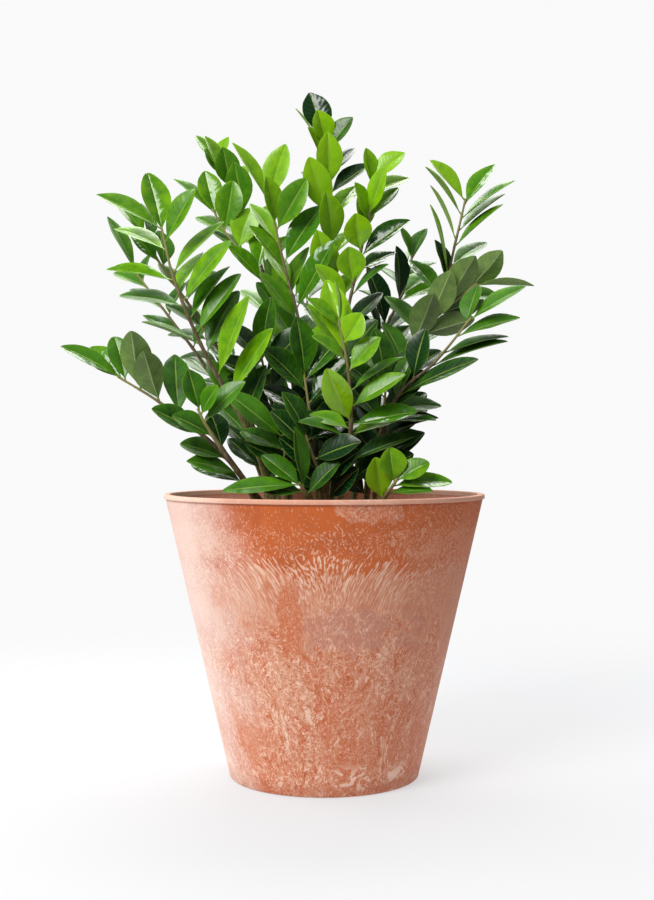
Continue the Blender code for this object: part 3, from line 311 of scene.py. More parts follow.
    # the brushed band, its strokes strongest near its upper edge
    upper_edge = recipe.rise(z, 0.170, 0.222)
    band = recipe.blend(recipe.rise(wisps, 0.36, 0.62), band_base, clay_pink)
    band = recipe.blend(recipe.times(recipe.rise(streaks, 0.47, 0.38), recipe.times(upper_edge, 0.55)), band, clay_orange)
    band = recipe.blend(recipe.times(recipe.rise(streaks, 0.54, 0.60), recipe.sum(0.22, recipe.times(upper_edge, 0.42))),
                        band, clay_cream)
    band = recipe.blend(recipe.times(recipe.rise(hairs, 0.54, 0.62), 0.36), band, clay_cream)
    band = recipe.blend(recipe.times(recipe.rise(clouds, 0.55, 0.66), 0.40), band, clay_orange)
    stippled = recipe.blend(recipe.times(recipe.rise(grains, 0.46, 0.60), 0.75), clay_orange, clay_pink)
    stippled = recipe.blend(recipe.times(recipe.rise(fibres, 0.56, 0.68), 0.60), stippled, clay_cream)
    orange_patch = torn(spot(-0.032, 0.172, 0.013, 0.034), rough_edge, 2.6)

    # the plain clay under the rim, with short pale flecks
    crossed = recipe.warp(place, 30.0, 0.035)
    flecks = recipe.noise(recipe.stretch(crossed, (1, 1, 0.55)), 540.0, 2.0, 0.55, 0.2)
    sides = recipe.rise(recipe.calc("ABSOLUTE", x), 0.050, 0.13)
    row = recipe.times(recipe.rise(z, 0.228, 0.240), recipe.rise(z, 0.272, 0.254))
    thick = recipe.sum(recipe.times(sides, 0.10), recipe.times(recipe.sum(slow, -0.5), 0.16))
    thick = recipe.sum(thick, recipe.times(row, 0.085))
    fleck_mask = recipe.rise(recipe.sum(flecks, thick), 0.60, 0.68)
    upper = recipe.blend(recipe.times(recipe.rise(clouds, 0.40, 0.75), 0.55), under_rim, clay_deep)
    upper = recipe.blend(recipe.times(recipe.rise(recipe.sum(slow, thick), 0.54, 0.75), 0.50), upper, clay_pink)
    upper = recipe.blend(recipe.times(fleck_mask, 0.58), upper, clay_fleck)
    smear = torn(spot(0.034, 0.284, 0.042, 0.015), rough_edge, 4.0)
    smeared = recipe.sum(0.08, recipe.times(recipe.rise(fibres, 0.44, 0.62), 0.42))
    upper = recipe.blend(recipe.times(smear, smeared), upper, clay_cream)

    # the band's ragged upper edge follows its strokes; its lower edge is torn by the marbling
    ragged = recipe.sum(z, recipe.sum(recipe.times(recipe.sum(streaks, -0.5), -0.075),
                                      recipe.times(recipe.sum(slow, -0.5), 0.050)))
    ragged = recipe.sum(ragged, recipe.times(recipe.sum(hairs, -0.5), -0.030))
    to_upper = recipe.rise(ragged, 0.2205, 0.2235)
    loose = recipe.sum(z, recipe.sum(recipe.times(recipe.sum(clouds, -0.5), 0.17),
                                     recipe.times(recipe.sum(marble, -0.5), 0.07)))
    to_band = recipe.rise(loose, 0.150, 0.166)
    color = recipe.blend(to_band, lower, band)
    color = recipe.blend(recipe.times(flat, 0.88), color, flat_color)
    color = recipe.blend(recipe.times(orange_patch, 0.85), color, stippled)
    color = recipe.blend(to_upper, color, upper)

    # painted shade: the foot is darkened towards the floor, where shadow falls at its base
    color = recipe.blend(recipe.times(recipe.rise(z, 0.020, 0.003), 0.45), color, clay_deep)

    # a painted highlight: the pale sheen that the left-hand light leaves on one side of the pot is painted in as a
    # chalky tint, and painted shade makes the other side redder
    painted_sheen = recipe.times(recipe.rise(recipe.sum(x, recipe.times(recipe.sum(clouds, -0.5), 0.10)), -0.050, -0.140), 0.52)
    color = recipe.blend(painted_sheen, color, sheen_painted_pale)
    color = recipe.blend(recipe.times(recipe.rise(x, 0.040, 0.130), 0.42), color, clay_orange)

    # the rim band is paler, the inside is pinker than the outside, and a painted shadow darkens the wall just under the
    # band
    radius = recipe.calc("SQRT", recipe.sum(recipe.times(x, x), recipe.times(y, y)))
    wall_radius = recipe.sum(recipe.times(z, (rim_radius - base_radius) / pot_height), base_radius)
    inside = recipe.rise(recipe.sum(wall_radius, recipe.times(radius, -1.0)), 0.0025, 0.0040)
    inner = recipe.blend(recipe.times(recipe.rise(fibres, 0.45, 0.66), 0.55), inside_pink, clay_cream)
    color = recipe.blend(recipe.times(inside, 0.85), color, inner)
    rim = recipe.rise(z, pot_height - band_height - 0.0006, pot_height - band_height + 0.0004)
    color = recipe.blend(recipe.times(rim, 0.50), color, clay_cream)
    # painted shadow under the rim band
    painted_shadow_under_band = recipe.times(recipe.rise(z, pot_height - band_height - 0.0026, pot_height - band_height - 0.0010),
                              recipe.calc("SUBTRACT", 1.0, rim))
    color = recipe.blend(recipe.times(painted_shadow_under_band, 0.30), color, clay_deep)

    grain = recipe.noise(place, 1500.0, 2.0, 0.6)
    relief = recipe.sum(recipe.times(streaks, to_band), recipe.sum(recipe.times(veins, 0.5), recipe.times(grain, 0.25)))
    recipe.bump(recipe.sum(relief, recipe.times(fibres, 0.4)), 0.00035, 0.5)
    recipe.shader.inputs["Specular IOR Level"].default_value = 0.45
    roughness = recipe.sum(0.40, recipe.times(recipe.sum(marble, recipe.times(grain, 0.4)), 0.14))
    return recipe.finish(color, roughness)


pot_shell = link_object("pot_shell", turned_mesh("pot_shell", pot_outline(), 192))
cut_drain_holes(pot_shell)
pot_shell.data.set_sharp_from_angle(angle=math.radians(40))
dress(pot_shell, marbled_clay(), "pot", "pot")


# ---- Drain screen and drainage gravel ----
# A disc of black plastic net lies over the drain holes, and a layer of fired clay pebbles fills the pot
# above it.  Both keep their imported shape, because the soil covers them; only their finish is set here.

def refinish(node_name, material):
    """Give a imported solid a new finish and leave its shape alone."""
    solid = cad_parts[node_name]
    solid.data.materials.clear()
    solid.data.materials.append(material)


def moulded_net():
    """Slightly scuffed black polypropylene."""
    recipe = Recipe("moulded net")
    scuffs = recipe.noise(recipe.place(), 420.0, 4.0, 0.7)
    recipe.bump(scuffs, 0.0002, 0.4)
    color = recipe.blend(recipe.rise(scuffs, 0.55, 0.75), (0.016, 0.016, 0.017), (0.060, 0.058, 0.055))
    return recipe.finish(color, recipe.sum(0.40, recipe.times(scuffs, 0.25)))


def clay_pebbles():
    """Round fired pebbles, each its own shade of brown or grey, with dark gaps."""
    recipe = Recipe("clay pebbles")
    place = recipe.warp(recipe.place(), 60.0, 0.004)
    gap = recipe.add("ShaderNodeTexVoronoi", "Distance", {"Vector": place, "Scale": 95.0})
    shade = recipe.add("ShaderNodeTexVoronoi", "Color", {"Vector": place, "Scale": 95.0})
    tone = recipe.add("ShaderNodeSeparateColor", 0, {"Color": shade})
    pores = recipe.noise(recipe.place(), 900.0, 3.0, 0.7)
    color = recipe.blend(tone, (0.210, 0.090, 0.045), (0.330, 0.270, 0.215))
    color = recipe.blend(recipe.rise(pores, 0.50, 0.70), color, (0.110, 0.060, 0.040))
    color = recipe.blend(recipe.rise(gap, 0.45, 0.80), color, (0.022, 0.016, 0.012))
    recipe.bump(recipe.sum(recipe.times(gap, -1.0), recipe.times(pores, 0.15)), 0.0030, 0.8)
    return recipe.finish(color, 0.88)


refinish("drain_screen", moulded_net())
refinish("drainage_gravel", clay_pebbles())


# ---- Soil ----
# Dark peat potting mix fills the pot to a finger's width below the rim.  Its raked top is uneven and
# carries loose crumbs, slivers of bark and a few white perlite grains, which keep clear of each rhizome.

soil_low, soil_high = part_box("soil")
headspace = 0.045
soil_top = pot_height - headspace
soil_unevenness = 0.0025
soil_fit = 0.0003
crumb_count = 620

rhizome_spots = {
    "left_front": (-0.050, -0.030),
    "left_back": (-0.048, 0.036),
    "front": (0.004, -0.058),
    "middle": (-0.004, 0.012),
    "right": (0.050, -0.018),
    "back": (0.022, 0.060),
}
rhizome_half_width = 0.024
rhizome_half_height = 0.018
rhizome_proud = 0.006


def soil_height(x, y):
    """Height of the soil's surface, lumpy at two scales on top of its raked bumps."""
    raked = soil_unevenness * (math.sin(90 * x + 1) * math.cos(75 * y) - 0.6)
    lumps = noise.noise(Vector((x, y, 0.0)) * 90) * 0.0018 + noise.noise(Vector((x, y, 3.0)) * 260) * 0.0010
    return soil_top + raked + lumps


def make_soil():
    """The soil's outer skin: its tapered side, its underside and a finely lumpy top."""
    rings, sides = 46, 150
    edge = pot_radius(soil_top) - pot_wall - soil_fit
    foot = pot_radius(soil_low.z) - pot_wall - soil_fit
    outline = [(0, soil_low.z), (foot, soil_low.z), (edge, soil_top - 2 * soil_unevenness)]
    outline += [(edge * (1 - ring / rings), soil_top) for ring in range(rings)] + [(0, soil_top)]
    mesh = turned_mesh("soil_bed", outline, sides)
    for vertex in mesh.vertices:
        if vertex.co.z >= soil_top - 1e-6:
            vertex.co.z = soil_height(vertex.co.x, vertex.co.y)
    return mesh


def make_crumbs(rng):
    """Loose crumbs, bark slivers and perlite grains lying on the soil, as one mesh."""
    work = bmesh.new()
    kind_layer = work.verts.layers.float.new("kind")
    for _ in range(crumb_count):
        reach = (pot_radius(soil_top) - pot_wall - 0.006) * math.sqrt(rng.random())
        turn = rng.uniform(0, math.tau)
        x, y = reach * math.cos(turn), reach * math.sin(turn)
        if any(math.hypot(x - a, y - b) < rhizome_half_width * 0.9 for a, b in rhizome_spots.values()):
            continue
        kind = rng.choices((0.0, 0.5, 1.0), weights=(6, 3, 1.1))[0]
        size = rng.uniform(0.0009, 0.0026)
        stretch = Vector((2.6, 1.1, 0.5)) if kind == 0.5 else Vector((1, rng.uniform(0.7, 1), rng.uniform(0.6, 0.9)))
        grown = bmesh.ops.create_icosphere(work, subdivisions=1, radius=size)["verts"]
        spin = rng.uniform(0, math.tau)
        tilt = rng.uniform(-0.5, 0.5)
        for vertex in grown:
            lump = 1 + 0.5 * noise.noise(vertex.co * 700 + Vector((x, y, 0)) * 900)
            p = Vector((vertex.co.x * stretch.x, vertex.co.y * stretch.y, vertex.co.z * stretch.z)) * lump
            p = Vector((p.x * math.cos(tilt) - p.z * math.sin(tilt), p.y, p.x * math.sin(tilt) + p.z * math.cos(tilt)))
            vertex.co = (x + p.x * math.cos(spin) - p.y * math.sin(spin),
                         y + p.x * math.sin(spin) + p.y * math.cos(spin),
                         soil_height(x, y) + size * 0.35 * stretch.z + p.z)
            vertex[kind_layer] = kind
    mesh = bpy.data.meshes.new("soil_crumbs")
    work.to_mesh(mesh)
    work.free()
    return mesh


def peat():
    """Damp dark peat with fibres and lighter specks."""
    recipe = Recipe("peat")
    place = recipe.place()
    crumbs = recipe.noise(place, 330.0, 6.0, 0.75, 0.6)
    specks = recipe.add("ShaderNodeTexVoronoi", "Distance", {"Vector": place, "Scale": 520.0})
    color = recipe.blend(recipe.rise(crumbs, 0.35, 0.70), (0.012, 0.0075, 0.005), (0.085, 0.048, 0.026))
    color = recipe.blend(recipe.rise(specks, 0.16, 0.08), color, (0.150, 0.095, 0.055))
    recipe.bump(crumbs, 0.0022, 0.9)
    return recipe.finish(color, 0.92)


def crumb_mix():
    """Peat crumbs, bark slivers and perlite, told apart by the crumb's kind."""
    recipe = Recipe("crumb mix")
    kind = recipe.add("ShaderNodeAttribute", "Fac", {}, attribute_name="kind")
    grain = recipe.noise(recipe.place(), 900.0, 4.0, 0.7)
    peaty = recipe.blend(grain, (0.010, 0.007, 0.005), (0.060, 0.036, 0.020))
    bark = recipe.blend(grain, (0.075, 0.035, 0.016), (0.230, 0.125, 0.062))
    white = recipe.blend(grain, (0.52, 0.50, 0.46), (0.86, 0.85, 0.82))
    color = recipe.blend(recipe.rise(kind, 0.20, 0.30), peaty, bark)
    color = recipe.blend(recipe.rise(kind, 0.70, 0.80), color, white)
    recipe.bump(grain, 0.0006, 0.7)
    return recipe.finish(color, 0.90)


soil_bed = link_object("soil_bed", make_soil())
dress(soil_bed, peat(), "soil", "soil")
soil_crumbs = link_object("soil_crumbs", make_crumbs(random.Random(5)))
soil_crumbs.data.materials.append(crumb_mix())
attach(soil_crumbs, "root")


# ---- Rhizomes ----
# Potato-like tubers, half buried, that the fronds grow from.  Each has a brown corky skin with leaf-scar
# rings and pale pores, and a low collar where every stalk comes out of it.

def make_rhizome(name, spot, feet):
    """One lumpy tuber with ring scars, and a raised collar round each stalk's foot."""
    x, y = spot
    middle = soil_top + rhizome_proud - rhizome_half_height
    rings, sides = 36, 56
    outline = [(rhizome_half_width * math.sin(math.pi * ring / rings),
                -rhizome_half_height * math.cos(math.pi * ring / rings)) for ring in range(1, rings)]
    outline = [(0, -rhizome_half_height)] + outline + [(0, rhizome_half_height)]
    mesh = turned_mesh(name, outline, sides)
    for vertex in mesh.vertices:
        p = vertex.co.copy()
        turn = math.atan2(p.y, p.x)
        swell = 1 + 0.05 * math.sin(3 * turn + 40 * x) + 0.03 * math.sin(5 * turn + 60 * y)
        ring_scar = 1 - 0.018 * max(0.0, math.sin(p.z * 900 + 0.8 * math.sin(2 * turn))) ** 6
        bumps = 1 + 0.035 * noise.noise(p * 120 + Vector((x, y, 0)) * 500)
        flat = p.xy.length * swell * ring_scar * bumps
        placed = Vector((x + flat * math.cos(turn), y + flat * math.sin(turn), middle + p.z * bumps))
        if p.z > 0:
            for foot in feet:
                reach = math.hypot(placed.x - foot[0], placed.y - foot[1])
                placed.z += 0.0018 * math.exp(-(reach / 0.0058) ** 4)
        vertex.co = placed
    return mesh


def corky_skin():
    """Brown cork with darker rings and pale pores."""
    recipe = Recipe("corky skin")
    place = recipe.place()
    rings = recipe.noise(recipe.stretch(recipe.warp(place, 50.0, 0.004), (0.12, 0.12, 1.0)), 700.0, 3.0, 0.6)
    blotch = recipe.noise(place, 130.0, 4.0, 0.6)
    pores = recipe.add("ShaderNodeTexVoronoi", "Distance", {"Vector": place, "Scale": 330.0})
    color = recipe.blend(recipe.rise(blotch, 0.35, 0.65), (0.120, 0.062, 0.030), (0.330, 0.215, 0.115))
    color = recipe.blend(recipe.times(recipe.rise(rings, 0.50, 0.66), 0.6), color, (0.060, 0.030, 0.015))
    color = recipe.blend(recipe.times(recipe.rise(pores, 0.16, 0.08), 0.7), color, (0.520, 0.400, 0.260))
    recipe.bump(recipe.sum(recipe.times(rings, -0.6), blotch), 0.0011, 0.7)
    return recipe.finish(color, 0.72)


# ---- Fronds ----
# Each frond is one leaf of the plant: a stout stalk, thick and ringed at its foot, runs on as a thinning
# midrib that carries two rows of thick waxy leaflets on short stalklets.  The tip leaflets are youngest
# and brightest; the low inner ones are oldest and nearly black-green, and that darkness is partly painted
# shade, for the shade they sit in deep in the crown.

# Each frond: the foot of its stalk (x, y), how old its leaflets are (0 young, 1 old; the low inner fronds are
# given old tones partly as painted shade), the points that its stem passes through (x, y, height above the
# rim), and its leaflets: height of the base above the rim, heading, lean, length, width and facing, as the
# imported solids have them.
fronds = {
    "front_centre": ((0.010, -0.050), 0.30, [
        (0.018, -0.060, 0.006), (0.026, -0.085, 0.070), (0.023, -0.090, 0.123), (0.014, -0.090, 0.171)], [
        (0.170, -2, 0, 0.040, 0.018, 78), (0.165, -45, 5, 0.042, 0.022, 55),
        (0.149, 29, 5, 0.034, 0.027, 15), (0.137, -12, -12, 0.082, 0.031, 15),
        (0.133, -51, 15, 0.040, 0.022, 55), (0.122, 40, 10, 0.044, 0.025, 35),
        (0.103, 53, -5, 0.062, 0.024, 68), (0.088, 55, 15, 0.060, 0.027, 50),
        (0.074, -25, 35, 0.062, 0.028, 0), (0.070, 74, 10, 0.064, 0.028, 55),
        (0.066, -65, -20, 0.045, 0.025, 50), (0.060, 66, -15, 0.056, 0.027, 55),
        (0.056, -49, 10, 0.056, 0.027, 50), (0.037, -45, -15, 0.076, 0.031, 45),
        (0.035, 64, 5, 0.068, 0.029, 60), (0.011, 49, 15, 0.056, 0.027, 50),
        (0.008, -22, 25, 0.058, 0.032, 0)]),
    "rim_left": ((-0.008, -0.060), 0.50, [
        (-0.014, -0.080, -0.012), (-0.018, -0.092, 0.003), (-0.024, -0.100, 0.014)], [
        (0.014, -90, 10, 0.074, 0.027, 55), (0.013, -48, -10, 0.050, 0.025, 45),
        (0.011, -4, 5, 0.060, 0.022, 50), (0.007, -63, 20, 0.048, 0.025, 45),
        (0.002, 40, 15, 0.045, 0.025, 50)]),
    "rim_right": ((0.016, -0.062), 0.50, [
        (0.052, -0.072, -0.010), (0.062, -0.080, 0.004), (0.072, -0.085, 0.018)], [
        (0.017, 57, 5, 0.035, 0.025, 40), (0.014, -6, 10, 0.034, 0.029, 20),
        (0.011, 82, -5, 0.058, 0.025, 55), (0.004, 65, 10, 0.045, 0.025, 45),
        (-0.003, -8, 20, 0.042, 0.029, 15)]),
    "inner_left": ((-0.010, 0.000), 0.85, [
        (-0.026, -0.006, 0.030), (-0.052, -0.022, 0.090), (-0.064, -0.028, 0.140)], [
        (0.140, 5, 5, 0.062, 0.031, 35), (0.137, -40, -10, 0.058, 0.030, 45),
        (0.124, 40, 10, 0.062, 0.031, 35), (0.113, -60, 10, 0.055, 0.029, 50),
        (0.100, 30, -15, 0.064, 0.031, 40), (0.090, -45, 15, 0.058, 0.030, 45),
        (0.077, 48, 10, 0.062, 0.031, 35), (0.066, -50, -10, 0.058, 0.030, 50),
        (0.052, 35, -10, 0.060, 0.031, 45), (0.040, -35, 20, 0.056, 0.029, 45),
        (0.025, 45, 15, 0.056, 0.029, 45), (0.014, -50, 10, 0.054, 0.029, 50),
        (0.004, 35, 35, 0.050, 0.028, 30)]),
    "inner_centre": ((-0.002, -0.048), 0.90, [
        (-0.004, -0.052, 0.020), (-0.014, -0.052, 0.080), (-0.020, -0.050, 0.120)], [
        (0.120, -5, 5, 0.060, 0.031, 30), (0.116, 35, -10, 0.056, 0.029, 45),
        (0.105, -42, 10, 0.060, 0.031, 40), (0.092, 38, 5, 0.060, 0.031, 45),
        (0.080, -55, -10, 0.058, 0.030, 50), (0.066, 45, -20, 0.058, 0.030, 45),
        (0.053, -45, 15, 0.060, 0.031, 40), (0.040, 50, 10, 0.055, 0.029, 50),
        (0.026, -50, 5, 0.056, 0.030, 45), (0.014, 48, -10, 0.054, 0.029, 45),
        (0.004, -40, 25, 0.050, 0.028, 35)]),
    "inner_right": ((0.041, -0.020), 0.85, [
        (0.047, -0.034, 0.020), (0.058, -0.044, 0.070), (0.062, -0.046, 0.112)], [
        (0.112, -8, 5, 0.058, 0.030, 30), (0.108, 38, -15, 0.058, 0.030, 45),
        (0.098, -45, 5, 0.058, 0.030, 45), (0.086, 45, 15, 0.060, 0.031, 40),
        (0.074, -38, -10, 0.058, 0.030, 45), (0.060, 55, -15, 0.060, 0.030, 45),
        (0.046, -50, 10, 0.056, 0.029, 45), (0.033, 55, 10, 0.058, 0.030, 45),
        (0.020, -35, -15, 0.052, 0.029, 45), (0.010, 60, 0, 0.054, 0.029, 50),
        (0.000, -30, 30, 0.048, 0.028, 30)]),
    "front_low": ((0.004, -0.070), 0.85, [
        (0.001, -0.076, 0.010), (-0.010, -0.083, 0.036), (-0.018, -0.086, 0.060)], [
        (0.060, -8, 8, 0.052, 0.029, 25), (0.056, 42, 5, 0.054, 0.029, 35),
        (0.047, -42, 10, 0.052, 0.029, 40), (0.036, 48, 12, 0.054, 0.029, 40),
        (0.026, -45, 15, 0.050, 0.028, 45), (0.016, 45, 15, 0.048, 0.028, 45),
        (0.006, -50, 25, 0.046, 0.027, 40), (-0.002, 40, 30, 0.046, 0.027, 40)]),
    "left_inner": ((-0.039, -0.036), 0.50, [
        (-0.036, -0.055, 0.010), (-0.038, -0.070, 0.037), (-0.040, -0.075, 0.060)], [
        (0.060, -48, 10, 0.070, 0.029, 40), (0.057, 10, 5, 0.054, 0.029, 20),
        (0.045, -62, -15, 0.050, 0.027, 50), (0.039, 35, -10, 0.055, 0.027, 50),
        (0.030, -40, 20, 0.046, 0.026, 45), (0.020, 15, 30, 0.044, 0.026, 45)]),
    "far_left": ((-0.062, -0.034), 0.50, [
        (-0.069, -0.060, -0.004), (-0.099, -0.082, 0.042), (-0.155, -0.100, 0.089),
        (-0.198, -0.105, 0.116)], [
        (0.116, -57, 10, 0.062, 0.027, 60), (0.114, -45, -20, 0.052, 0.027, 25),
        (0.112, -16, -25, 0.050, 0.027, 20), (0.103, -6, 15, 0.058, 0.031, 172),
        (0.092, -17, 10, 0.054, 0.031, 172), (0.078, -6, -30, 0.076, 0.029, 20),
        (0.062, -57, 20, 0.056, 0.029, 50), (0.038, -68, 5, 0.046, 0.025, 45),
        (0.024, -63, 20, 0.054, 0.025, 50), (0.014, -67, -10, 0.056, 0.025, 50)]),
    "left_small": ((-0.051, -0.043), 0.55, [
        (-0.074, -0.082, 0.010), (-0.097, -0.105, 0.045), (-0.114, -0.116, 0.072),
        (-0.120, -0.118, 0.085)], [
        (0.084, -12, 10, 0.040, 0.025, 30), (0.079, 20, 20, 0.036, 0.022, 45),
        (0.072, 42, 10, 0.054, 0.025, 40), (0.060, -58, 20, 0.042, 0.025, 45),
        (0.046, -17, -20, 0.042, 0.025, 35)]),
    "left_tall": ((-0.042, -0.020), 0.42, [
        (-0.052, -0.030, -0.004), (-0.074, -0.045, 0.060), (-0.117, -0.060, 0.139),
        (-0.148, -0.065, 0.213), (-0.161, -0.065, 0.266)], [
        (0.266, -58, 10, 0.070, 0.031, 60), (0.262, -13, -10, 0.066, 0.030, 25),
        (0.250, 27, 15, 0.060, 0.030, 45), (0.243, -59, -25, 0.068, 0.031, 60),
        (0.220, 38, -10, 0.074, 0.031, 55), (0.213, -76, 5, 0.066, 0.031, 65),
        (0.203, 20, -35, 0.060, 0.029, 50), (0.192, 36, 15, 0.076, 0.031, 50),
        (0.188, -74, -15, 0.070, 0.031, 60), (0.175, 29, -20, 0.072, 0.031, 55),
        (0.161, 33, 5, 0.072, 0.031, 50), (0.151, -64, 15, 0.060, 0.026, 78),
        (0.140, 21, -15, 0.076, 0.031, 35), (0.119, 18, 10, 0.088, 0.031, 45),
        (0.100, 30, 20, 0.080, 0.029, 50), (0.088, -28, -15, 0.060, 0.030, 40),
        (0.074, 18, -22, 0.062, 0.030, 40), (0.058, -42, -22, 0.058, 0.030, 45)]),
    "right_low": ((0.050, -0.032), 0.62, [
        (0.055, -0.050, 0.030), (0.070, -0.060, 0.095), (0.109, -0.075, 0.132),
        (0.143, -0.085, 0.174)], [
        (0.174, 54, 5, 0.062, 0.027, 60), (0.168, 15, -20, 0.045, 0.025, 50),
        (0.157, 69, 10, 0.062, 0.025, 62), (0.141, 70, -10, 0.068, 0.024, 70),
        (0.129, 67, 5, 0.076, 0.024, 70), (0.115, 11, 10, 0.050, 0.027, 30),
        (0.100, 68, 10, 0.092, 0.029, 65), (0.094, 36, -15, 0.060, 0.027, 50),
        (0.085, 80, -10, 0.052, 0.027, 50), (0.073, 74, 10, 0.050, 0.027, 50),
        (0.062, 68, 20, 0.056, 0.029, 40), (0.055, 49, -20, 0.050, 0.029, 45),
        (0.042, 60, 0, 0.045, 0.027, 45),
        (0.030, -30, 30, 0.050, 0.028, 25), (0.018, 50, 30, 0.050, 0.028, 30),
        (0.006, -25, 35, 0.048, 0.028, 30)]),
    "right_spread": ((0.060, -0.014), 0.62, [
        (0.064, -0.010, 0.060), (0.078, -0.010, 0.117), (0.102, -0.020, 0.167),
        (0.123, -0.025, 0.188), (0.155, -0.030, 0.214)], [
        (0.214, 86, 5, 0.058, 0.024, 100), (0.208, 40, 8, 0.050, 0.027, 170),
        (0.200, 80, -25, 0.050, 0.025, 45), (0.190, 27, 10, 0.062, 0.029, 170),
        (0.184, 60, -10, 0.052, 0.026, 150), (0.172, 24, 10, 0.064, 0.030, 168),
        (0.164, 54, -10, 0.056, 0.027, 150), (0.150, 18, 15, 0.064, 0.030, 168),
        (0.130, -20, -15, 0.055, 0.029, 45), (0.120, 50, -25, 0.055, 0.029, 50),
        (0.098, -25, -25, 0.054, 0.028, 45), (0.076, 48, -25, 0.055, 0.029, 45),
        (0.052, -30, -20, 0.052, 0.028, 40)]),
    "right_tall": ((0.044, -0.002), 0.52, [
        (0.050, 0.010, 0.050), (0.082, 0.012, 0.130), (0.124, 0.014, 0.212),
        (0.138, 0.015, 0.265), (0.148, 0.015, 0.308)], [
        (0.308, -37, 5, 0.055, 0.027, 50), (0.306, 32, -10, 0.056, 0.028, 50),
        (0.291, -33, 10, 0.062, 0.025, 80), (0.288, 50, 10, 0.066, 0.027, 76),
        (0.275, 45, -15, 0.068, 0.028, 72), (0.266, -18, -10, 0.064, 0.022, 84),
        (0.259, 44, 10, 0.064, 0.028, 74), (0.238, 50, -20, 0.052, 0.027, 55),
        (0.230, -11, 20, 0.074, 0.024, 84), (0.223, 5, 15, 0.044, 0.027, 30),
        (0.205, -30, -25, 0.058, 0.029, 45), (0.195, 50, -35, 0.060, 0.029, 45),
        (0.165, -35, -20, 0.060, 0.029, 45), (0.150, 45, -35, 0.060, 0.029, 45),
        (0.128, -30, -30, 0.056, 0.028, 45), (0.108, 42, -30, 0.058, 0.029, 45),
        (0.086, -32, 15, 0.056, 0.029, 40), (0.064, 42, -25, 0.056, 0.029, 45)]),
    "centre_right": ((0.006, 0.006), 0.22, [
        (0.015, -0.004, 0.070), (0.021, -0.010, 0.168), (0.038, -0.015, 0.250),
        (0.046, -0.015, 0.286), (0.049, -0.015, 0.325)], [
        (0.324, 48, 5, 0.042, 0.025, 35), (0.318, -5, 10, 0.036, 0.022, 45),
        (0.308, 60, -15, 0.045, 0.025, 50), (0.287, 15, 15, 0.052, 0.027, 45),
        (0.283, 38, -10, 0.046, 0.022, 50), (0.278, -14, 15, 0.044, 0.027, 35),
        (0.268, 4, 12, 0.042, 0.029, 20), (0.249, -8, 18, 0.040, 0.031, 10),
        (0.244, 50, 5, 0.062, 0.029, 45), (0.229, 58, -10, 0.046, 0.027, 50),
        (0.217, -6, 15, 0.036, 0.031, 10), (0.205, 38, 10, 0.050, 0.029, 45),
        (0.190, -32, 10, 0.055, 0.029, 45), (0.170, 40, -12, 0.056, 0.029, 50),
        (0.150, -35, 15, 0.056, 0.029, 45), (0.135, 35, 12, 0.056, 0.029, 45),
        (0.115, -32, 10, 0.060, 0.031, 45), (0.098, 42, 10, 0.060, 0.031, 45),
        (0.078, -38, -10, 0.058, 0.031, 45), (0.060, 40, -10, 0.058, 0.031, 45),
        (0.042, -35, 20, 0.055, 0.030, 40), (0.024, 40, -20, 0.054, 0.029, 40)]),
    "centre_left": ((-0.004, 0.013), 0.30, [
        (-0.018, 0.003, 0.070), (-0.025, 0.010, 0.170), (-0.042, 0.020, 0.239),
        (-0.058, 0.020, 0.309)], [
        (0.309, 14, 5, 0.061, 0.029, 15), (0.303, -27, 10, 0.074, 0.027, 60),
        (0.296, -5, -25, 0.063, 0.027, 50), (0.282, -7, 20, 0.050, 0.027, 45),
        (0.276, 13, 10, 0.063, 0.031, 15), (0.262, -30, -15, 0.058, 0.029, 50),
        (0.242, 32, 5, 0.071, 0.031, 25), (0.235, -35, 10, 0.058, 0.029, 55),
        (0.215, -25, -25, 0.063, 0.029, 50), (0.205, 35, -25, 0.063, 0.029, 50),
        (0.193, 26, 15, 0.080, 0.031, 40), (0.180, -35, 15, 0.063, 0.029, 50),
        (0.150, -30, -10, 0.063, 0.031, 50), (0.140, 35, -15, 0.063, 0.031, 50),
        (0.120, -30, -20, 0.063, 0.031, 45), (0.108, 38, 15, 0.063, 0.031, 45),
        (0.092, -5, 20, 0.082, 0.027, 60), (0.070, 40, -15, 0.061, 0.031, 45),
        (0.060, -38, -15, 0.061, 0.031, 45),
        (0.040, 35, 10, 0.056, 0.030, 40), (0.022, -35, -25, 0.054, 0.029, 40)]),
    "centre_tallest": ((0.004, 0.022), 0.22, [
        (0.010, 0.025, 0.092), (0.010, 0.030, 0.200), (0.006, 0.030, 0.300), (0.002, 0.030, 0.376)], [
        (0.376, -18, 0, 0.053, 0.031, 10), (0.366, -12, 15, 0.038, 0.027, 25),
        (0.362, 18, 5, 0.044, 0.027, 20), (0.357, -26, -15, 0.066, 0.022, 75),
        (0.348, -25, 20, 0.042, 0.025, 55), (0.334, 32, -25, 0.050, 0.029, 45),
        (0.323, 0, 20, 0.056, 0.029, 15), (0.316, 48, -5, 0.054, 0.027, 50),
        (0.310, -35, -25, 0.050, 0.029, 50), (0.293, -20, 15, 0.066, 0.031, 10),
        (0.287, 28, -25, 0.060, 0.031, 50), (0.260, -4, 25, 0.062, 0.031, 5),
        (0.250, 32, -30, 0.060, 0.031, 50), (0.228, -32, -20, 0.056, 0.031, 50),
        (0.213, -14, 25, 0.066, 0.031, 10), (0.198, 30, -22, 0.060, 0.031, 50),
        (0.160, -30, -25, 0.060, 0.031, 50), (0.140, 35, -25, 0.060, 0.031, 50),
        (0.115, -35, 15, 0.060, 0.031, 45), (0.095, 38, -20, 0.060, 0.031, 45),
        (0.070, -35, -25, 0.058, 0.031, 45),
        (0.050, 35, 20, 0.056, 0.030, 40), (0.030, -35, -30, 0.055, 0.029, 40)]),
    "left_behind": ((-0.056, 0.026), 0.60, [
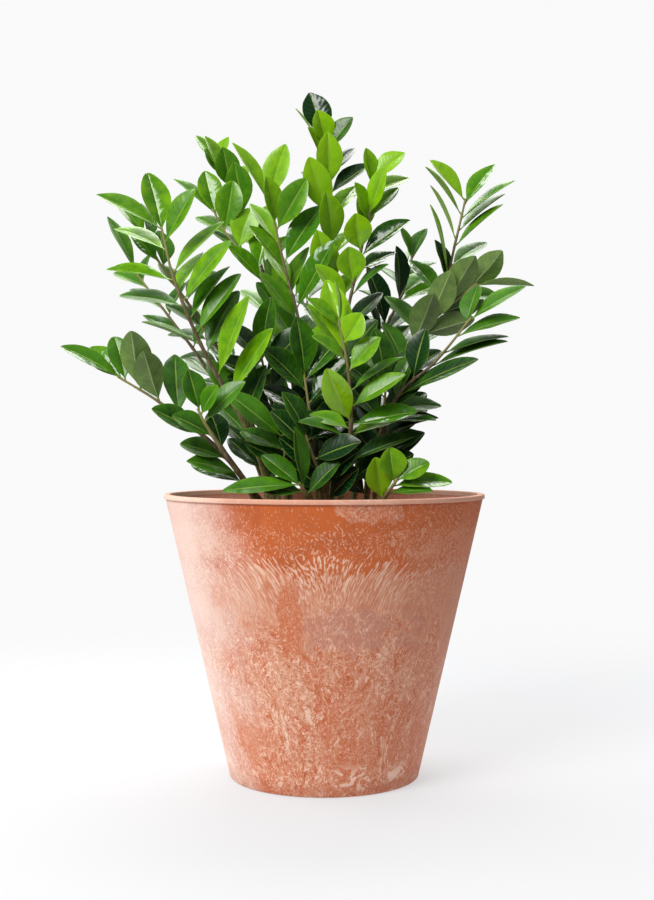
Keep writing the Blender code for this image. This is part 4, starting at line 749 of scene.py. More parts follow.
        (-0.066, 0.022, 0.030), (-0.088, 0.015, 0.108), (-0.131, 0.005, 0.182),
        (-0.170, 0.000, 0.238), (-0.186, 0.000, 0.270)], [
        (0.269, -35, -5, 0.048, 0.027, 50), (0.262, -8, -35, 0.050, 0.027, 40),
        (0.240, -40, 15, 0.045, 0.025, 45), (0.234, -5, -20, 0.045, 0.025, 40),
        (0.206, -32, -25, 0.050, 0.027, 50), (0.200, 30, -40, 0.060, 0.029, 45),
        (0.170, -52, -20, 0.055, 0.027, 50), (0.165, 25, -30, 0.060, 0.029, 45),
        (0.130, -32, -45, 0.060, 0.029, 40), (0.115, 30, -30, 0.060, 0.029, 40),
        (0.095, -38, -20, 0.060, 0.030, 45), (0.080, 28, -15, 0.060, 0.030, 45),
        (0.060, -42, -15, 0.058, 0.030, 45),
        (0.042, 30, -25, 0.055, 0.029, 45), (0.026, -45, -20, 0.052, 0.028, 40),
        (0.010, 25, -30, 0.050, 0.028, 40)]),
    "left_upper": ((-0.016, 0.016), 0.35, [
        (-0.028, 0.030, 0.060), (-0.041, 0.040, 0.170), (-0.067, 0.050, 0.227),
        (-0.107, 0.060, 0.280), (-0.120, 0.060, 0.304)], [
        (0.303, -46, 5, 0.055, 0.027, 60), (0.299, -14, -15, 0.053, 0.028, 15),
        (0.282, 9, 10, 0.053, 0.031, 10), (0.276, -50, -30, 0.053, 0.027, 50),
        (0.261, 16, 5, 0.046, 0.031, 10), (0.253, -45, -20, 0.053, 0.027, 55),
        (0.236, 11, -10, 0.063, 0.031, 10), (0.225, -40, 10, 0.053, 0.027, 50),
        (0.208, 0, -20, 0.061, 0.029, 40), (0.198, 25, -30, 0.063, 0.029, 50),
        (0.190, 19, 10, 0.076, 0.029, 55), (0.184, -30, 15, 0.047, 0.027, 50),
        (0.152, 30, -30, 0.063, 0.031, 45), (0.146, -35, -25, 0.063, 0.031, 45),
        (0.118, 28, -25, 0.063, 0.031, 45), (0.105, -42, -15, 0.063, 0.031, 45),
        (0.075, -30, -25, 0.061, 0.031, 45),
        (0.050, 32, -20, 0.058, 0.030, 45), (0.028, -35, -20, 0.055, 0.029, 40)]),
    "right_behind": ((0.032, 0.050), 0.60, [
        (0.042, 0.046, 0.080), (0.065, 0.044, 0.172), (0.085, 0.050, 0.215),
        (0.095, 0.060, 0.255)], [
        (0.254, -16, 5, 0.034, 0.020, 60), (0.249, 20, -20, 0.045, 0.025, 50),
        (0.212, 45, -30, 0.050, 0.027, 50), (0.205, 8, 15, 0.060, 0.029, 25),
        (0.176, -14, 10, 0.066, 0.028, 40), (0.170, 45, -25, 0.055, 0.029, 50),
        (0.160, -7, 25, 0.052, 0.027, 45), (0.149, -37, 10, 0.055, 0.027, 45),
        (0.144, 40, -20, 0.055, 0.029, 50), (0.128, -25, 15, 0.072, 0.031, 30),
        (0.115, 8, 20, 0.070, 0.031, 30), (0.100, -35, -20, 0.060, 0.029, 45),
        (0.090, 35, -25, 0.060, 0.029, 45), (0.070, -30, -20, 0.060, 0.031, 45),
        (0.055, 40, -20, 0.058, 0.030, 45),
        (0.038, -35, -25, 0.056, 0.029, 45), (0.022, 40, -25, 0.052, 0.028, 40)]),
    "left_far_back": ((-0.058, 0.042), 0.60, [
        (-0.080, 0.050, 0.050), (-0.125, 0.056, 0.130), (-0.169, 0.065, 0.190),
        (-0.207, 0.070, 0.240)], [
        (0.240, -22, 5, 0.066, 0.027, 65), (0.228, 4, -30, 0.040, 0.025, 50),
        (0.222, -60, -20, 0.045, 0.025, 50), (0.198, -52, -30, 0.055, 0.027, 50),
        (0.190, 15, -35, 0.055, 0.027, 50), (0.165, -55, -10, 0.055, 0.027, 60),
        (0.155, 20, -30, 0.060, 0.029, 50), (0.122, -45, -40, 0.055, 0.027, 40),
        (0.110, 30, -40, 0.060, 0.029, 45),
        (0.088, -48, -35, 0.056, 0.028, 45), (0.068, 28, -38, 0.056, 0.029, 45),
        (0.048, -45, -30, 0.054, 0.028, 45), (0.030, 30, -35, 0.052, 0.028, 40)]),
    "upper_back": ((-0.036, 0.036), 0.35, [
        (-0.042, 0.060, 0.060), (-0.058, 0.080, 0.200), (-0.083, 0.095, 0.290),
        (-0.106, 0.100, 0.338), (-0.122, 0.105, 0.365)], [
        (0.364, -31, 0, 0.038, 0.022, 55), (0.359, 10, -20, 0.042, 0.022, 40),
        (0.348, -32, 20, 0.036, 0.020, 40), (0.341, -22, 5, 0.057, 0.027, 58),
        (0.333, -10, 15, 0.048, 0.029, 15), (0.320, 2, -20, 0.047, 0.029, 30),
        (0.306, -10, 10, 0.058, 0.030, 10), (0.298, -60, -15, 0.053, 0.027, 50),
        (0.275, 20, -20, 0.058, 0.029, 45), (0.268, -45, -20, 0.058, 0.029, 50),
        (0.240, 25, -25, 0.058, 0.029, 45), (0.232, -40, -30, 0.058, 0.029, 50),
        (0.200, 30, -30, 0.063, 0.029, 45), (0.190, -40, -35, 0.063, 0.029, 45),
        (0.150, 35, -30, 0.063, 0.029, 45), (0.140, -35, -35, 0.063, 0.029, 45),
        (0.120, 35, -30, 0.060, 0.029, 45), (0.104, -38, -30, 0.060, 0.029, 45),
        (0.080, 32, -35, 0.058, 0.029, 45), (0.058, -38, -35, 0.056, 0.029, 40),
        (0.036, 35, -35, 0.052, 0.028, 40)]),
    "back_right": ((0.030, 0.068), 0.60, [
        (0.045, 0.090, 0.060), (0.072, 0.115, 0.150), (0.085, 0.135, 0.210), (0.090, 0.150, 0.245)], [
        (0.244, 10, -40, 0.050, 0.027, 60), (0.240, 55, -30, 0.055, 0.027, 60),
        (0.232, -40, -40, 0.055, 0.029, 60), (0.214, 60, -25, 0.060, 0.029, 55),
        (0.200, -50, -30, 0.060, 0.031, 60), (0.186, 60, -35, 0.060, 0.031, 55),
        (0.172, -45, -40, 0.060, 0.031, 60), (0.155, 55, -40, 0.060, 0.031, 55),
        (0.140, -45, -40, 0.060, 0.031, 55), (0.120, 55, -35, 0.060, 0.029, 55),
        (0.100, -40, -45, 0.060, 0.029, 55), (0.082, 50, -45, 0.058, 0.029, 55),
        (0.064, -45, -40, 0.058, 0.029, 50), (0.048, 50, -40, 0.056, 0.028, 50),
        (0.032, -45, -35, 0.052, 0.028, 45), (0.018, 40, -35, 0.050, 0.028, 40)]),
    "back_centre": ((0.011, 0.064), 0.60, [
        (0.002, 0.095, 0.040), (-0.010, 0.128, 0.125), (-0.018, 0.150, 0.190),
        (-0.020, 0.162, 0.225)], [
        (0.224, -15, -40, 0.052, 0.027, 60), (0.219, 45, -35, 0.055, 0.029, 60),
        (0.210, -60, -35, 0.055, 0.029, 60), (0.192, 55, -35, 0.060, 0.031, 60),
        (0.178, -60, -30, 0.060, 0.031, 60), (0.160, 55, -40, 0.060, 0.031, 55),
        (0.145, -55, -40, 0.060, 0.031, 60), (0.125, 50, -45, 0.060, 0.031, 55),
        (0.108, -55, -45, 0.060, 0.031, 55), (0.088, 50, -40, 0.056, 0.029, 55),
        (0.072, -50, -45, 0.058, 0.029, 55), (0.055, 48, -45, 0.058, 0.029, 50),
        (0.040, -45, -40, 0.054, 0.028, 50),
        (0.026, 48, -35, 0.052, 0.028, 45), (0.012, -40, -35, 0.050, 0.028, 40)]),
    "back_left": ((-0.047, 0.047), 0.60, [
        (-0.062, 0.082, 0.035), (-0.095, 0.112, 0.100), (-0.122, 0.130, 0.150),
        (-0.138, 0.140, 0.185)], [
        (0.184, -35, -30, 0.052, 0.027, 60), (0.179, 10, -50, 0.050, 0.027, 60),
        (0.170, -75, -25, 0.055, 0.029, 60), (0.155, 25, -50, 0.058, 0.029, 55),
        (0.143, -75, -30, 0.058, 0.031, 60), (0.127, 20, -55, 0.060, 0.031, 55),
        (0.112, -70, -35, 0.058, 0.031, 55), (0.095, 30, -50, 0.056, 0.029, 55),
        (0.080, -65, -40, 0.056, 0.029, 55), (0.064, 30, -45, 0.056, 0.029, 55),
        (0.050, -55, -40, 0.054, 0.028, 50),
        (0.036, 35, -40, 0.052, 0.028, 45), (0.022, -50, -35, 0.050, 0.028, 40)]),
}

socket_depth = 0.012
stalk_straight = 0.005
foot_radius = 0.0038
stalk_top_radius = 0.0027
tip_radius = 0.0010
bare_stalk = 0.008
tip_stub = 0.0007
half_base = 0.0013
base_spacing = 0.0032
blade_recurve = 0.10

# Leaflets that are markedly younger or older than the rest of their frond, by frond and rise.  Their tones
# also paint light and shade: lit leaflets are given young, bright tones and shaded ones old, dark tones.
leaflet_age_light_and_shade = {
    ("centre_tallest", 0.376): 0.90, ("centre_tallest", 0.366): 0.12, ("centre_tallest", 0.362): 0.80,
    ("centre_tallest", 0.334): 0.85, ("centre_tallest", 0.323): 0.05, ("centre_tallest", 0.316): 0.80,
    ("centre_tallest", 0.293): 0.02, ("centre_tallest", 0.260): 0.06, ("centre_tallest", 0.213): 0.10,
    ("centre_right", 0.249): 0.12, ("centre_right", 0.217): 0.10, ("centre_right", 0.244): 0.62,
    ("centre_right", 0.229): 0.66, ("centre_right", 0.205): 0.75, ("centre_right", 0.170): 0.80,
    ("centre_right", 0.135): 0.85, ("right_tall", 0.308): 0.18, ("right_tall", 0.306): 0.38,
    ("right_tall", 0.291): 0.10, ("right_tall", 0.266): 0.08, ("right_tall", 0.230): 0.05,
    ("right_tall", 0.223): 1.15, ("right_behind", 0.205): 1.10, ("right_behind", 0.176): 1.15,
    ("right_behind", 0.160): 1.10, ("right_behind", 0.149): 1.15, ("right_low", 0.115): 0.95,
    ("front_centre", 0.074): -0.08, ("front_centre", 0.137): 0.08, ("front_centre", 0.037): 1.10, ("front_centre", 0.008): 0.98,
    ("front_centre", 0.035): 0.74, ("front_centre", 0.011): 0.85, ("centre_left", 0.276): 0.34,
    ("centre_left", 0.242): 0.45, ("centre_left", 0.193): 0.66, ("left_tall", 0.119): 0.30,
    ("left_tall", 0.100): 0.36, ("left_upper", 0.236): 0.42, ("rim_right", 0.014): 0.22, ("rim_right", -0.003): 0.10,
}

# A crowded leaflet has grown a little aside: changes of heading, lean, facing and length, in order.
sidesteps = [(0, 0, 0, 1.0)] + [
    (heading, lean, facing, length)
    for length in (0.97, 0.85, 0.7, 0.55)
    for lean in (9, -9, 18, -18, 28, -28, 40, -40)
    for heading in (0.5, 8, -8, 17, -17)
    for facing in (0, 25)]


class Stem:
    """A smooth stem from its foot to its tip, measured along its length."""

    def __init__(self, foot, points):
        knots = [(*foot, soil_top - socket_depth), (*foot, soil_top + rhizome_proud + stalk_straight)]
        knots += [(x, y, pot_height + rise) for x, y, rise in points]
        self.line = self.smooth([np.array(knot) for knot in knots])
        self.along = np.concatenate([[0.0], np.cumsum(np.linalg.norm(np.diff(self.line, axis=0), axis=1))])
        self.length = self.along[-1]

    @staticmethod
    def smooth(knots):
        """Draw a curve through the knots, straight at its foot."""
        steps = 12
        line = [knots[0]]
        slopes = []
        for index in range(len(knots)):
            before, after = knots[max(index - 1, 0)], knots[min(index + 1, len(knots) - 1)]
            slopes.append((after - before) / np.linalg.norm(after - before))
        slopes[0] = slopes[1] = np.array((0.0, 0.0, 1.0))
        for index in range(len(knots) - 1):
            start, end = knots[index], knots[index + 1]
            reach = np.linalg.norm(end - start)
            for t in np.arange(1, steps + 1) / steps:
                line.append((2 * t**3 - 3 * t**2 + 1) * start + (t**3 - 2 * t**2 + t) * reach * slopes[index]
                            + (3 * t**2 - 2 * t**3) * end + (t**3 - t**2) * reach * slopes[index + 1])
        return np.array(line)

    def point(self, distance):
        return Vector([np.interp(distance, self.along, self.line[:, axis]) for axis in range(3)])

    def direction(self, distance):
        near = 0.002
        low, high = max(distance - near, 0.0), min(distance + near, self.length)
        return (self.point(high) - self.point(low)).normalized()

    def distance_at(self, rise):
        return float(np.interp(pot_height + rise, self.line[:, 2], self.along))

    def radius(self, distance):
        """A stout stalk up to the lowest leaflets, then a thinning midrib."""
        if distance <= self.split:
            return foot_radius + (stalk_top_radius - foot_radius) * distance / self.split
        part = (distance - self.split) / (self.length - self.split)
        return stalk_top_radius + (tip_radius - stalk_top_radius) * part


def leaflet_frame(heading, lean, facing):
    """Direction of a leaflet's midrib, its upper normal, and its side vector."""
    heading, lean, facing = math.radians(heading), math.radians(lean), math.radians(facing)
    along = Vector((math.sin(heading) * math.cos(lean), -math.sin(lean), math.cos(heading) * math.cos(lean)))
    front = Vector((0, -1, 0))
    front = (front - along * front.dot(along)).normalized()
    upper = along.cross(front)
    if upper.z < 0:
        upper = -upper
    normal = front * math.cos(facing) + upper * math.sin(facing)
    return along, normal, normal.cross(along)


def as_grown(root, wanted, corners):
    """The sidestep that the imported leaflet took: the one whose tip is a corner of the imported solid."""
    heading, lean, length, width, facing = wanted
    best = None
    for step in sidesteps:
        tried = (heading + step[0], lean + step[1], length * step[3], width * step[3] ** 0.5, facing + step[2])
        along, normal, _ = leaflet_frame(tried[0], tried[1], tried[4])
        tip = root + along * tried[2] - normal * blade_recurve * tried[2]
        miss = corners.find(tip)[2]
        if best is None or miss < best[0] - 2e-6:
            best = (miss, tried)
    return best[1]


def stretches(stem, leaflets, corners):
    """Rise, base distance, root point and grown shape of each leaflet, from the tip down."""
    limit = stem.length - half_base - tip_stub
    found = []
    for rise, heading, lean, length, width, facing in sorted(leaflets, reverse=True):
        base = min(stem.distance_at(rise), limit)
        limit = base - base_spacing
        along = leaflet_frame(heading, lean, facing)[0]
        direction = stem.direction(base)
        outward = (along - direction * along.dot(direction)).normalized()
        root = stem.point(base) + outward * stem.radius(base) * 0.8
        found.append((rise, base, root, as_grown(root, (heading, lean, length, width, facing), corners)))
    return found


blade_rows = [0.0, 0.025, 0.055, 0.09, 0.145, 0.22, 0.31, 0.41, 0.52, 0.63, 0.73, 0.82, 0.89, 0.94, 0.975,
              0.993, 1.0]
blade_columns = [-1.0, -0.9, -0.68, -0.40, -0.14, 0.0, 0.14, 0.40, 0.68, 0.9, 1.0]
stalklet_half = 0.0009
midrib_thickness = 0.0007
margin_thickness = 0.00028


def blade_half_width(u, width, point):
    """Half width of a blade: a short stalklet, an oval widest past its middle, and a small point."""
    s = min(max((u - 0.045) / 0.955, 0.0), 1.0)
    oval = 0.5 * width * math.sin(math.pi * s**1.12) ** (0.95 - 0.36 * s)
    drawn = 1 - point * max(0.0, (s - 0.80) / 0.20) ** 1.2
    return max(oval * drawn, stalklet_half * (1 - s) ** 3, 0.00012)


def blade_sheet(points, faces, marks, root, shape, age, rng):
    """Add one leaflet as a thin closed skin: upper side, underside and the margin between them."""
    heading, lean, length, width, facing = shape
    along, normal, side = leaflet_frame(heading, lean, facing)
    fold = rng.uniform(0.20, 0.40)
    crown = rng.uniform(0.25, 0.50)
    twist = math.radians(rng.uniform(-7, 7))
    sickle = rng.uniform(-0.025, 0.025)
    wave = rng.uniform(0.010, 0.045)
    waves = rng.uniform(1.0, 1.9)
    phase = rng.uniform(0, math.tau)
    point = rng.uniform(0.0, 0.40)
    seed = rng.random()
    start = len(points)
    columns = len(blade_columns)
    for upper in (1.0, 0.0):
        for u in blade_rows:
            half = blade_half_width(u, width, point)
            turn = twist * u
            across = side * math.cos(turn) + normal * math.sin(turn)
            up = normal * math.cos(turn) - side * math.sin(turn)
            centre = root + along * length * u - normal * blade_recurve * length * u * u
            centre += side * sickle * length * math.sin(math.pi * u)
            open_blade = min(u / 0.16, 1.0)
            neck = max(0.0, 1 - u / 0.10)
            for v in blade_columns:
                lift = half * open_blade * (fold * abs(v) + 0.22 * crown * (1 - v * v) * abs(v))
                lift += half * wave * v * v * math.sin(math.tau * waves * u + phase + (1.3 if v > 0 else 0.0))
                groove = math.exp(-(v * half / 0.0006) ** 2)
                thick = margin_thickness + (midrib_thickness - margin_thickness) * (1 - abs(v)) ** 0.7
                thick = thick * (1 - neck) + 2 * stalklet_half * neck * math.sqrt(max(0.0, 1 - v * v * 0.96))
                thick *= 1 if u < 0.98 else 0.6
                if upper:
                    rise = lift + 0.5 * thick - 0.00028 * groove * open_blade
                else:
                    rise = lift - 0.5 * thick - 0.00050 * groove * open_blade * (1 - u)
                points.append(centre + across * half * v + up * rise)
                marks.append((u, 0.5 + 0.5 * v, age, seed, upper))
    rows = len(blade_rows)
    under = start + rows * columns
    for row in range(rows - 1):
        for column in range(columns - 1):
            a = row * columns + column
            quad = (a, a + 1, a + 1 + columns, a + columns)
            faces.append(tuple(start + index for index in quad))
            faces.append(tuple(under + index for index in reversed(quad)))
        for edge, turned in ((0, False), (columns - 1, True)):
            a, b = row * columns + edge, (row + 1) * columns + edge
            strip = (start + a, start + b, under + b, under + a)
            faces.append(tuple(reversed(strip)) if turned else strip)
    for row, turned in ((0, True), (rows - 1, False)):
        for column in range(columns - 1):
            a = row * columns + column
            strip = (start + a, start + a + 1, under + a + 1, under + a)
            faces.append(tuple(reversed(strip)) if not turned else strip)


def marked_mesh(name, points, faces, marks, names):
    """A smooth mesh that carries a value of each name at every point."""
    mesh = bpy.data.meshes.new(name)
    mesh.from_pydata(points, [], faces)
    values = np.array(marks, np.float32)
    for column, mark in enumerate(names):
        mesh.attributes.new(mark, "FLOAT", "POINT").data.foreach_set("value", np.ascontiguousarray(values[:, column]))
    mesh.shade_smooth()
    mesh.set_sharp_from_angle(angle=math.radians(55))
    return mesh


stem_sides = 14
stem_step = 0.0035


def stem_skin(name, stem, bases, age):
    """The stalk and midrib as one tube, ringed low down and swollen a little where leaflets join."""
    rings = max(12, round(stem.length / stem_step))
    points, faces, marks = [], [], []
    for ring in range(rings + 1):
        distance = stem.length * ring / rings
        direction = stem.direction(distance)
        first = Vector((0, -1, 0))
        first = (first - direction * first.dot(direction)).normalized()
        second = direction.cross(first)
        swell = sum(0.16 * math.exp(-((distance - base) / 0.003) ** 2) for base in bases)
        low = max(0.0, 1 - distance / 0.09)
        ring_scar = 0.05 * low * math.sin(distance * 720)
        radius = stem.radius(distance) * (1 + min(swell, 0.22) + ring_scar + 0.10 * low)
        centre = stem.point(distance)
        for corner in range(stem_sides):
            turn = math.tau * corner / stem_sides
            points.append(centre + (first * math.cos(turn) + second * math.sin(turn)) * radius)
            marks.append((distance, distance / stem.length, age))
    for ring in range(rings):
        for corner in range(stem_sides):
            after = (corner + 1) % stem_sides
            low, high = ring * stem_sides, (ring + 1) * stem_sides
            faces.append((low + corner, low + after, high + after, high + corner))
    faces.append(tuple(reversed(range(stem_sides))))
    faces.append(tuple(range(rings * stem_sides, (rings + 1) * stem_sides)))
    return marked_mesh(name, points, faces, marks, ("distance", "part", "age"))


def waxy_leaf():
    """A thick waxy leaflet: glossy above, matt and paler below, with a light midrib and margin."""
    recipe = Recipe("waxy leaf")

    def mark(name):
        return recipe.add("ShaderNodeAttribute", "Fac", {}, attribute_name=name)

    along, across, age, seed, upper = mark("along"), mark("across"), mark("age"), mark("seed"), mark("upper")
    off_rib = recipe.times(recipe.calc("ABSOLUTE", recipe.sum(across, -0.5)), 2.0)
    place = recipe.place()
    mottle = recipe.noise(place, 85.0, 4.0, 0.6)

    # each leaflet is a little older or younger than its frond, and patchy
    grown = recipe.sum(age, recipe.times(recipe.sum(seed, -0.5), 0.30))
    grown = recipe.sum(grown, recipe.times(recipe.sum(mottle, -0.5), 0.55))
    grown = recipe.sum(grown, recipe.times(recipe.sum(off_rib, -0.5), -0.10))
    # the old tone also serves as painted shade: leaflets deep in the crown get it for the shade they sit in
    young, middle_aged, old = (0.255, 0.540, 0.004), (0.056, 0.208, 0.004), (0.004, 0.034, 0.007)
    color = recipe.blend(recipe.rise(grown, 0.02, 0.50), young, middle_aged)
    color = recipe.blend(recipe.rise(grown, 0.42, 0.92), color, old)

    # side veins leave the rib at a slant and bend towards the tip
    slant = recipe.sum(along, recipe.times(recipe.calc("POWER", off_rib, 1.25), -0.16))
    buckle = recipe.noise(place, 110.0, 0.0, 0.5, 0.3)
    ripple = recipe.calc("COSINE", recipe.times(recipe.sum(slant, recipe.times(buckle, 0.03)), math.tau * 10))
    vein = recipe.rise(ripple, 0.82, 1.0)
    color = recipe.blend(recipe.times(vein, 0.10), color, (0.200, 0.400, 0.040))
    rib = recipe.rise(off_rib, 0.075, 0.025)
    color = recipe.blend(recipe.times(rib, 0.60), color, (0.330, 0.500, 0.070))
    margin = recipe.rise(off_rib, 0.965, 0.998)
    color = recipe.blend(recipe.times(margin, 0.55), color, (0.420, 0.600, 0.080))

    # the underside is greyer, and shows its veins more; its old tone is darker still, as painted shade
    below = recipe.blend(recipe.rise(grown, 0.10, 0.90), (0.240, 0.390, 0.075), (0.052, 0.094, 0.032))
    below = recipe.blend(recipe.times(vein, 0.30), below, (0.050, 0.105, 0.025))
    below = recipe.blend(recipe.times(rib, 0.75), below, (0.340, 0.470, 0.170))
    color = recipe.blend(upper, below, color)
    gloss = recipe.rise(recipe.calc("FRACT", recipe.times(seed, 7.0)), 0.68, 0.74)

    # the stalklet is yellow-green, and now and then a tip has dried brown
    stalklet = recipe.rise(along, 0.075, 0.040)
    color = recipe.blend(recipe.times(stalklet, 0.80), color, (0.240, 0.270, 0.050))
    dry = recipe.times(recipe.rise(recipe.sum(along, recipe.times(mottle, 0.05)), 1.000, 1.020),
                       recipe.rise(seed, 0.80, 0.84))
    color = recipe.blend(recipe.times(dry, 0.85), color, (0.200, 0.060, 0.025))

    roughness = recipe.sum(0.28, recipe.sum(recipe.times(mottle, 0.12), recipe.times(gloss, -0.20)))
    roughness = recipe.sum(roughness, recipe.times(recipe.calc("SUBTRACT", 1.0, upper), 0.28))
    pillow = recipe.times(recipe.times(ripple, off_rib), recipe.calc("SUBTRACT", 1.0, off_rib))
    swell = recipe.sum(recipe.times(pillow, -0.22), recipe.times(buckle, recipe.sum(0.8, recipe.times(gloss, 0.6))))
    recipe.bump(swell, 0.0012, 0.42)
    recipe.shader.inputs["Coat Weight"].default_value = 0.08
    recipe.shader.inputs["Coat Roughness"].default_value = 0.10
    recipe.shader.inputs["Specular IOR Level"].default_value = 0.40
    return recipe.finish(color, roughness)


def ringed_stalk():
    """Stalk skin: tan-olive and ringed at the foot, browner higher up, greener at the young tip."""
    recipe = Recipe("ringed stalk")
    distance = recipe.add("ShaderNodeAttribute", "Fac", {}, attribute_name="distance")
    part = recipe.add("ShaderNodeAttribute", "Fac", {}, attribute_name="part")
    place = recipe.place()
    blotch = recipe.noise(recipe.stretch(place, (1, 1, 0.35)), 260.0, 4.0, 0.65)
    fine = recipe.noise(recipe.stretch(place, (1, 1, 0.15)), 900.0, 2.0, 0.6)
    low = recipe.blend(recipe.rise(blotch, 0.38, 0.66), (0.285, 0.275, 0.095), (0.150, 0.120, 0.045))
    high = recipe.blend(recipe.rise(blotch, 0.36, 0.64), (0.165, 0.120, 0.055), (0.080, 0.048, 0.028))
    tip = recipe.blend(blotch, (0.220, 0.260, 0.065), (0.300, 0.240, 0.090))
    color = recipe.blend(recipe.rise(part, 0.25, 0.50), low, high)
    color = recipe.blend(recipe.rise(part, 0.70, 0.98), color, tip)
    ripple = recipe.calc("SINE", recipe.sum(recipe.times(distance, 720.0), recipe.times(blotch, 1.5)))
    scar = recipe.times(recipe.rise(ripple, 0.90, 1.0), recipe.rise(distance, 0.14, 0.06))
    color = recipe.blend(recipe.times(scar, 0.55), color, (0.045, 0.025, 0.014))
    color = recipe.blend(recipe.times(recipe.rise(fine, 0.56, 0.70), 0.35), color, (0.400, 0.330, 0.180))
    recipe.bump(recipe.sum(recipe.times(blotch, 0.6), recipe.times(scar, -0.6)), 0.0004, 0.6)
    return recipe.finish(color, recipe.sum(0.40, recipe.times(blotch, 0.20)))


rhizome_skin = corky_skin()
for name, spot in rhizome_spots.items():
    held = [foot for foot, _, _, _ in fronds.values() if math.dist(foot, spot) < rhizome_half_width]
    tuber = link_object(f"{name}_rhizome", make_rhizome(f"{name}_rhizome", spot, held))
    dress(tuber, rhizome_skin, "rhizome", f"rhizome_{name}")

leaf_skin = waxy_leaf()
stalk_skin = ringed_stalk()
leaf_rng = random.Random(11)
for name, (foot, frond_age_and_shade, points, leaflets) in fronds.items():
    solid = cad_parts[f"{name}_frond_leaflets"]
    corners = KDTree(len(solid.data.vertices))
    for vertex in solid.data.vertices:
        corners.insert(vertex.co, vertex.index)
    corners.balance()

    stem = Stem(foot, points)
    stem.split = stem.distance_at(min(leaflet[0] for leaflet in leaflets)) - bare_stalk
    grown = stretches(stem, leaflets, corners)
    bases = [base for _, base, _, _ in grown]
    tube = link_object(f"{name}_stem", stem_skin(f"{name}_stem", stem, bases, frond_age_and_shade))
    dress(tube, stalk_skin, "stalk", f"{name}_frond_stalk")

    blade_points, blade_faces, blade_marks = [], [], []
    for rise, base, root, shape in grown:
        # lower leaflets are given older, darker tones, partly as painted shade under the leaflets above them
        depth = (stem.length - base) / (stem.length - min(bases) + 0.001)
        age = leaflet_age_light_and_shade.get((name, rise), frond_age_and_shade + 0.35 * (depth - 0.30))
        blade_sheet(blade_points, blade_faces, blade_marks, root, shape, age, leaf_rng)
    leaves = link_object(f"{name}_leaves", marked_mesh(
        f"{name}_leaves", blade_points, blade_faces, blade_marks, ("along", "across", "age", "seed", "upper")))
    dress(leaves, leaf_skin, "leaf", f"{name}_frond_leaflets")


# ---- Floor, light and camera ----
# The plant stands on a pale floor that fades into a white surround.  A broad soft light hangs at its
# upper left front, a tall one stands at its left and a little behind, and one overhead lights the tips.

surround = 0.955


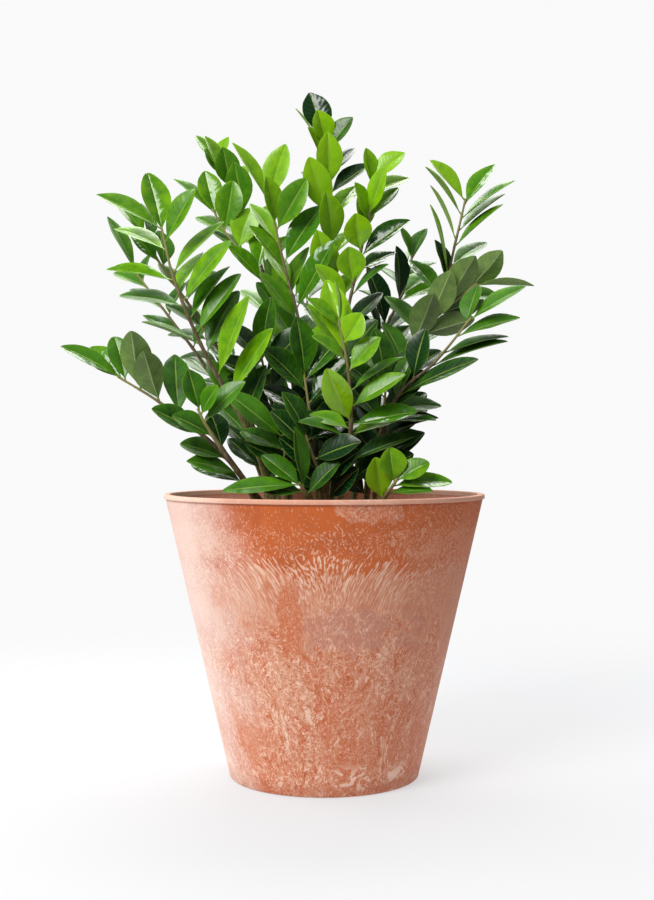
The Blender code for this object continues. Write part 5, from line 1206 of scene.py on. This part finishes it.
def white_surround():
    """A world that shows white, lights the plant most from above and behind, and is dim in reflections."""
    world = bpy.data.worlds.new("white surround")
    scene.world = world
    world.use_nodes = True
    tree = world.node_tree
    way = tree.nodes.new("ShaderNodeTexCoord")
    split = tree.nodes.new("ShaderNodeSeparateXYZ")
    tree.links.new(way.outputs["Generated"], split.inputs[0])
    strength = 0.14
    for axis, share in (("Y", 0.34), ("Z", 0.55)):
        above = tree.nodes.new("ShaderNodeMath")
        above.operation = "MAXIMUM"
        tree.links.new(split.outputs[axis], above.inputs[0])
        above.inputs[1].default_value = 0.0
        scaled = tree.nodes.new("ShaderNodeMath")
        scaled.operation = "MULTIPLY_ADD"
        tree.links.new(above.outputs[0], scaled.inputs[0])
        scaled.inputs[1].default_value = share
        if isinstance(strength, float):
            scaled.inputs[2].default_value = strength
        else:
            tree.links.new(strength, scaled.inputs[2])
        strength = scaled.outputs[0]
    light = tree.nodes["Background"]
    light.inputs["Color"].default_value = (1.0, 1.0, 1.0, 1.0)
    shown = tree.nodes.new("ShaderNodeBackground")
    shown.inputs["Color"].default_value = (0.998, 0.998, 1.0, 1.0)
    shown.inputs["Strength"].default_value = surround
    path = tree.nodes.new("ShaderNodeLightPath")
    dimmed = tree.nodes.new("ShaderNodeMath")
    dimmed.operation = "MULTIPLY_ADD"
    tree.links.new(path.outputs["Is Glossy Ray"], dimmed.inputs[0])
    dimmed.inputs[1].default_value = -0.60
    dimmed.inputs[2].default_value = 1.0
    seen = tree.nodes.new("ShaderNodeMath")
    seen.operation = "MULTIPLY"
    tree.links.new(strength, seen.inputs[0])
    tree.links.new(dimmed.outputs[0], seen.inputs[1])
    tree.links.new(seen.outputs[0], light.inputs["Strength"])
    choose = tree.nodes.new("ShaderNodeMixShader")
    tree.links.new(path.outputs["Is Camera Ray"], choose.inputs[0])
    tree.links.new(light.outputs[0], choose.inputs[1])
    tree.links.new(shown.outputs[0], choose.inputs[2])
    tree.links.new(choose.outputs[0], tree.nodes["World Output"].inputs["Surface"])


def pale_floor():
    """Matt pale floor with a glow of its own, as an overlit sheet has, fading out far from the plant."""
    recipe = Recipe("pale floor")
    spread = recipe.add("ShaderNodeVectorMath", "Value", {0: recipe.place()}, operation="LENGTH")
    recipe.put(recipe.shader.inputs["Alpha"], recipe.rise(spread, 1.30, 0.40))
    recipe.shader.inputs["Specular IOR Level"].default_value = 0.0
    recipe.shader.inputs["Emission Color"].default_value = (0.985, 0.99, 1.0, 1.0)
    recipe.shader.inputs["Emission Strength"].default_value = 0.515
    return recipe.finish((0.305, 0.308, 0.320), 0.9)


def soft_light(name, place, aim, size, power, glare=True):
    """A square soft light at a place, aimed at a point; without glare it isn't seen in reflections."""
    light = bpy.data.lights.new(name, "AREA")
    light.shape = "RECTANGLE"
    light.size, light.size_y = size
    light.energy = power
    light.color = (1.0, 0.985, 0.96)
    item = bpy.data.objects.new(name, light)
    item.visible_glossy = glare
    item.location = place
    item.rotation_euler = (Vector(aim) - Vector(place)).to_track_quat("-Z", "Y").to_euler()
    scene.collection.objects.link(item)


white_surround()
bpy.ops.mesh.primitive_circle_add(vertices=96, radius=1.4, fill_type="NGON", location=(0, 0, -0.0004))
floor = bpy.context.object
floor.name = "floor"
floor.data.materials.append(pale_floor())

soft_light("upper left", (-1.15, -1.55, 1.75), (0, 0, 0.30), (1.1, 1.1), 50.0)
soft_light("left side", (-1.95, 0.75, 0.55), (0, 0, 0.25), (1.3, 1.7), 29.0, glare=False)
soft_light("overhead", (0.10, 0.95, 1.90), (0, 0, 0.45), (1.5, 0.9), 26.0)

camera = bpy.data.objects.new("camera", bpy.data.cameras.new("camera"))
camera.location = (0, -1.394, 0.3427)
camera.rotation_euler = (math.radians(90), 0, 0)
camera.data.sensor_width = 36.0
camera.data.lens = 53.86
camera.data.shift_x = 0.0031
camera.data.shift_y = -0.0084
scene.collection.objects.link(camera)
scene.camera = camera
scene.view_settings.view_transform = "Standard"
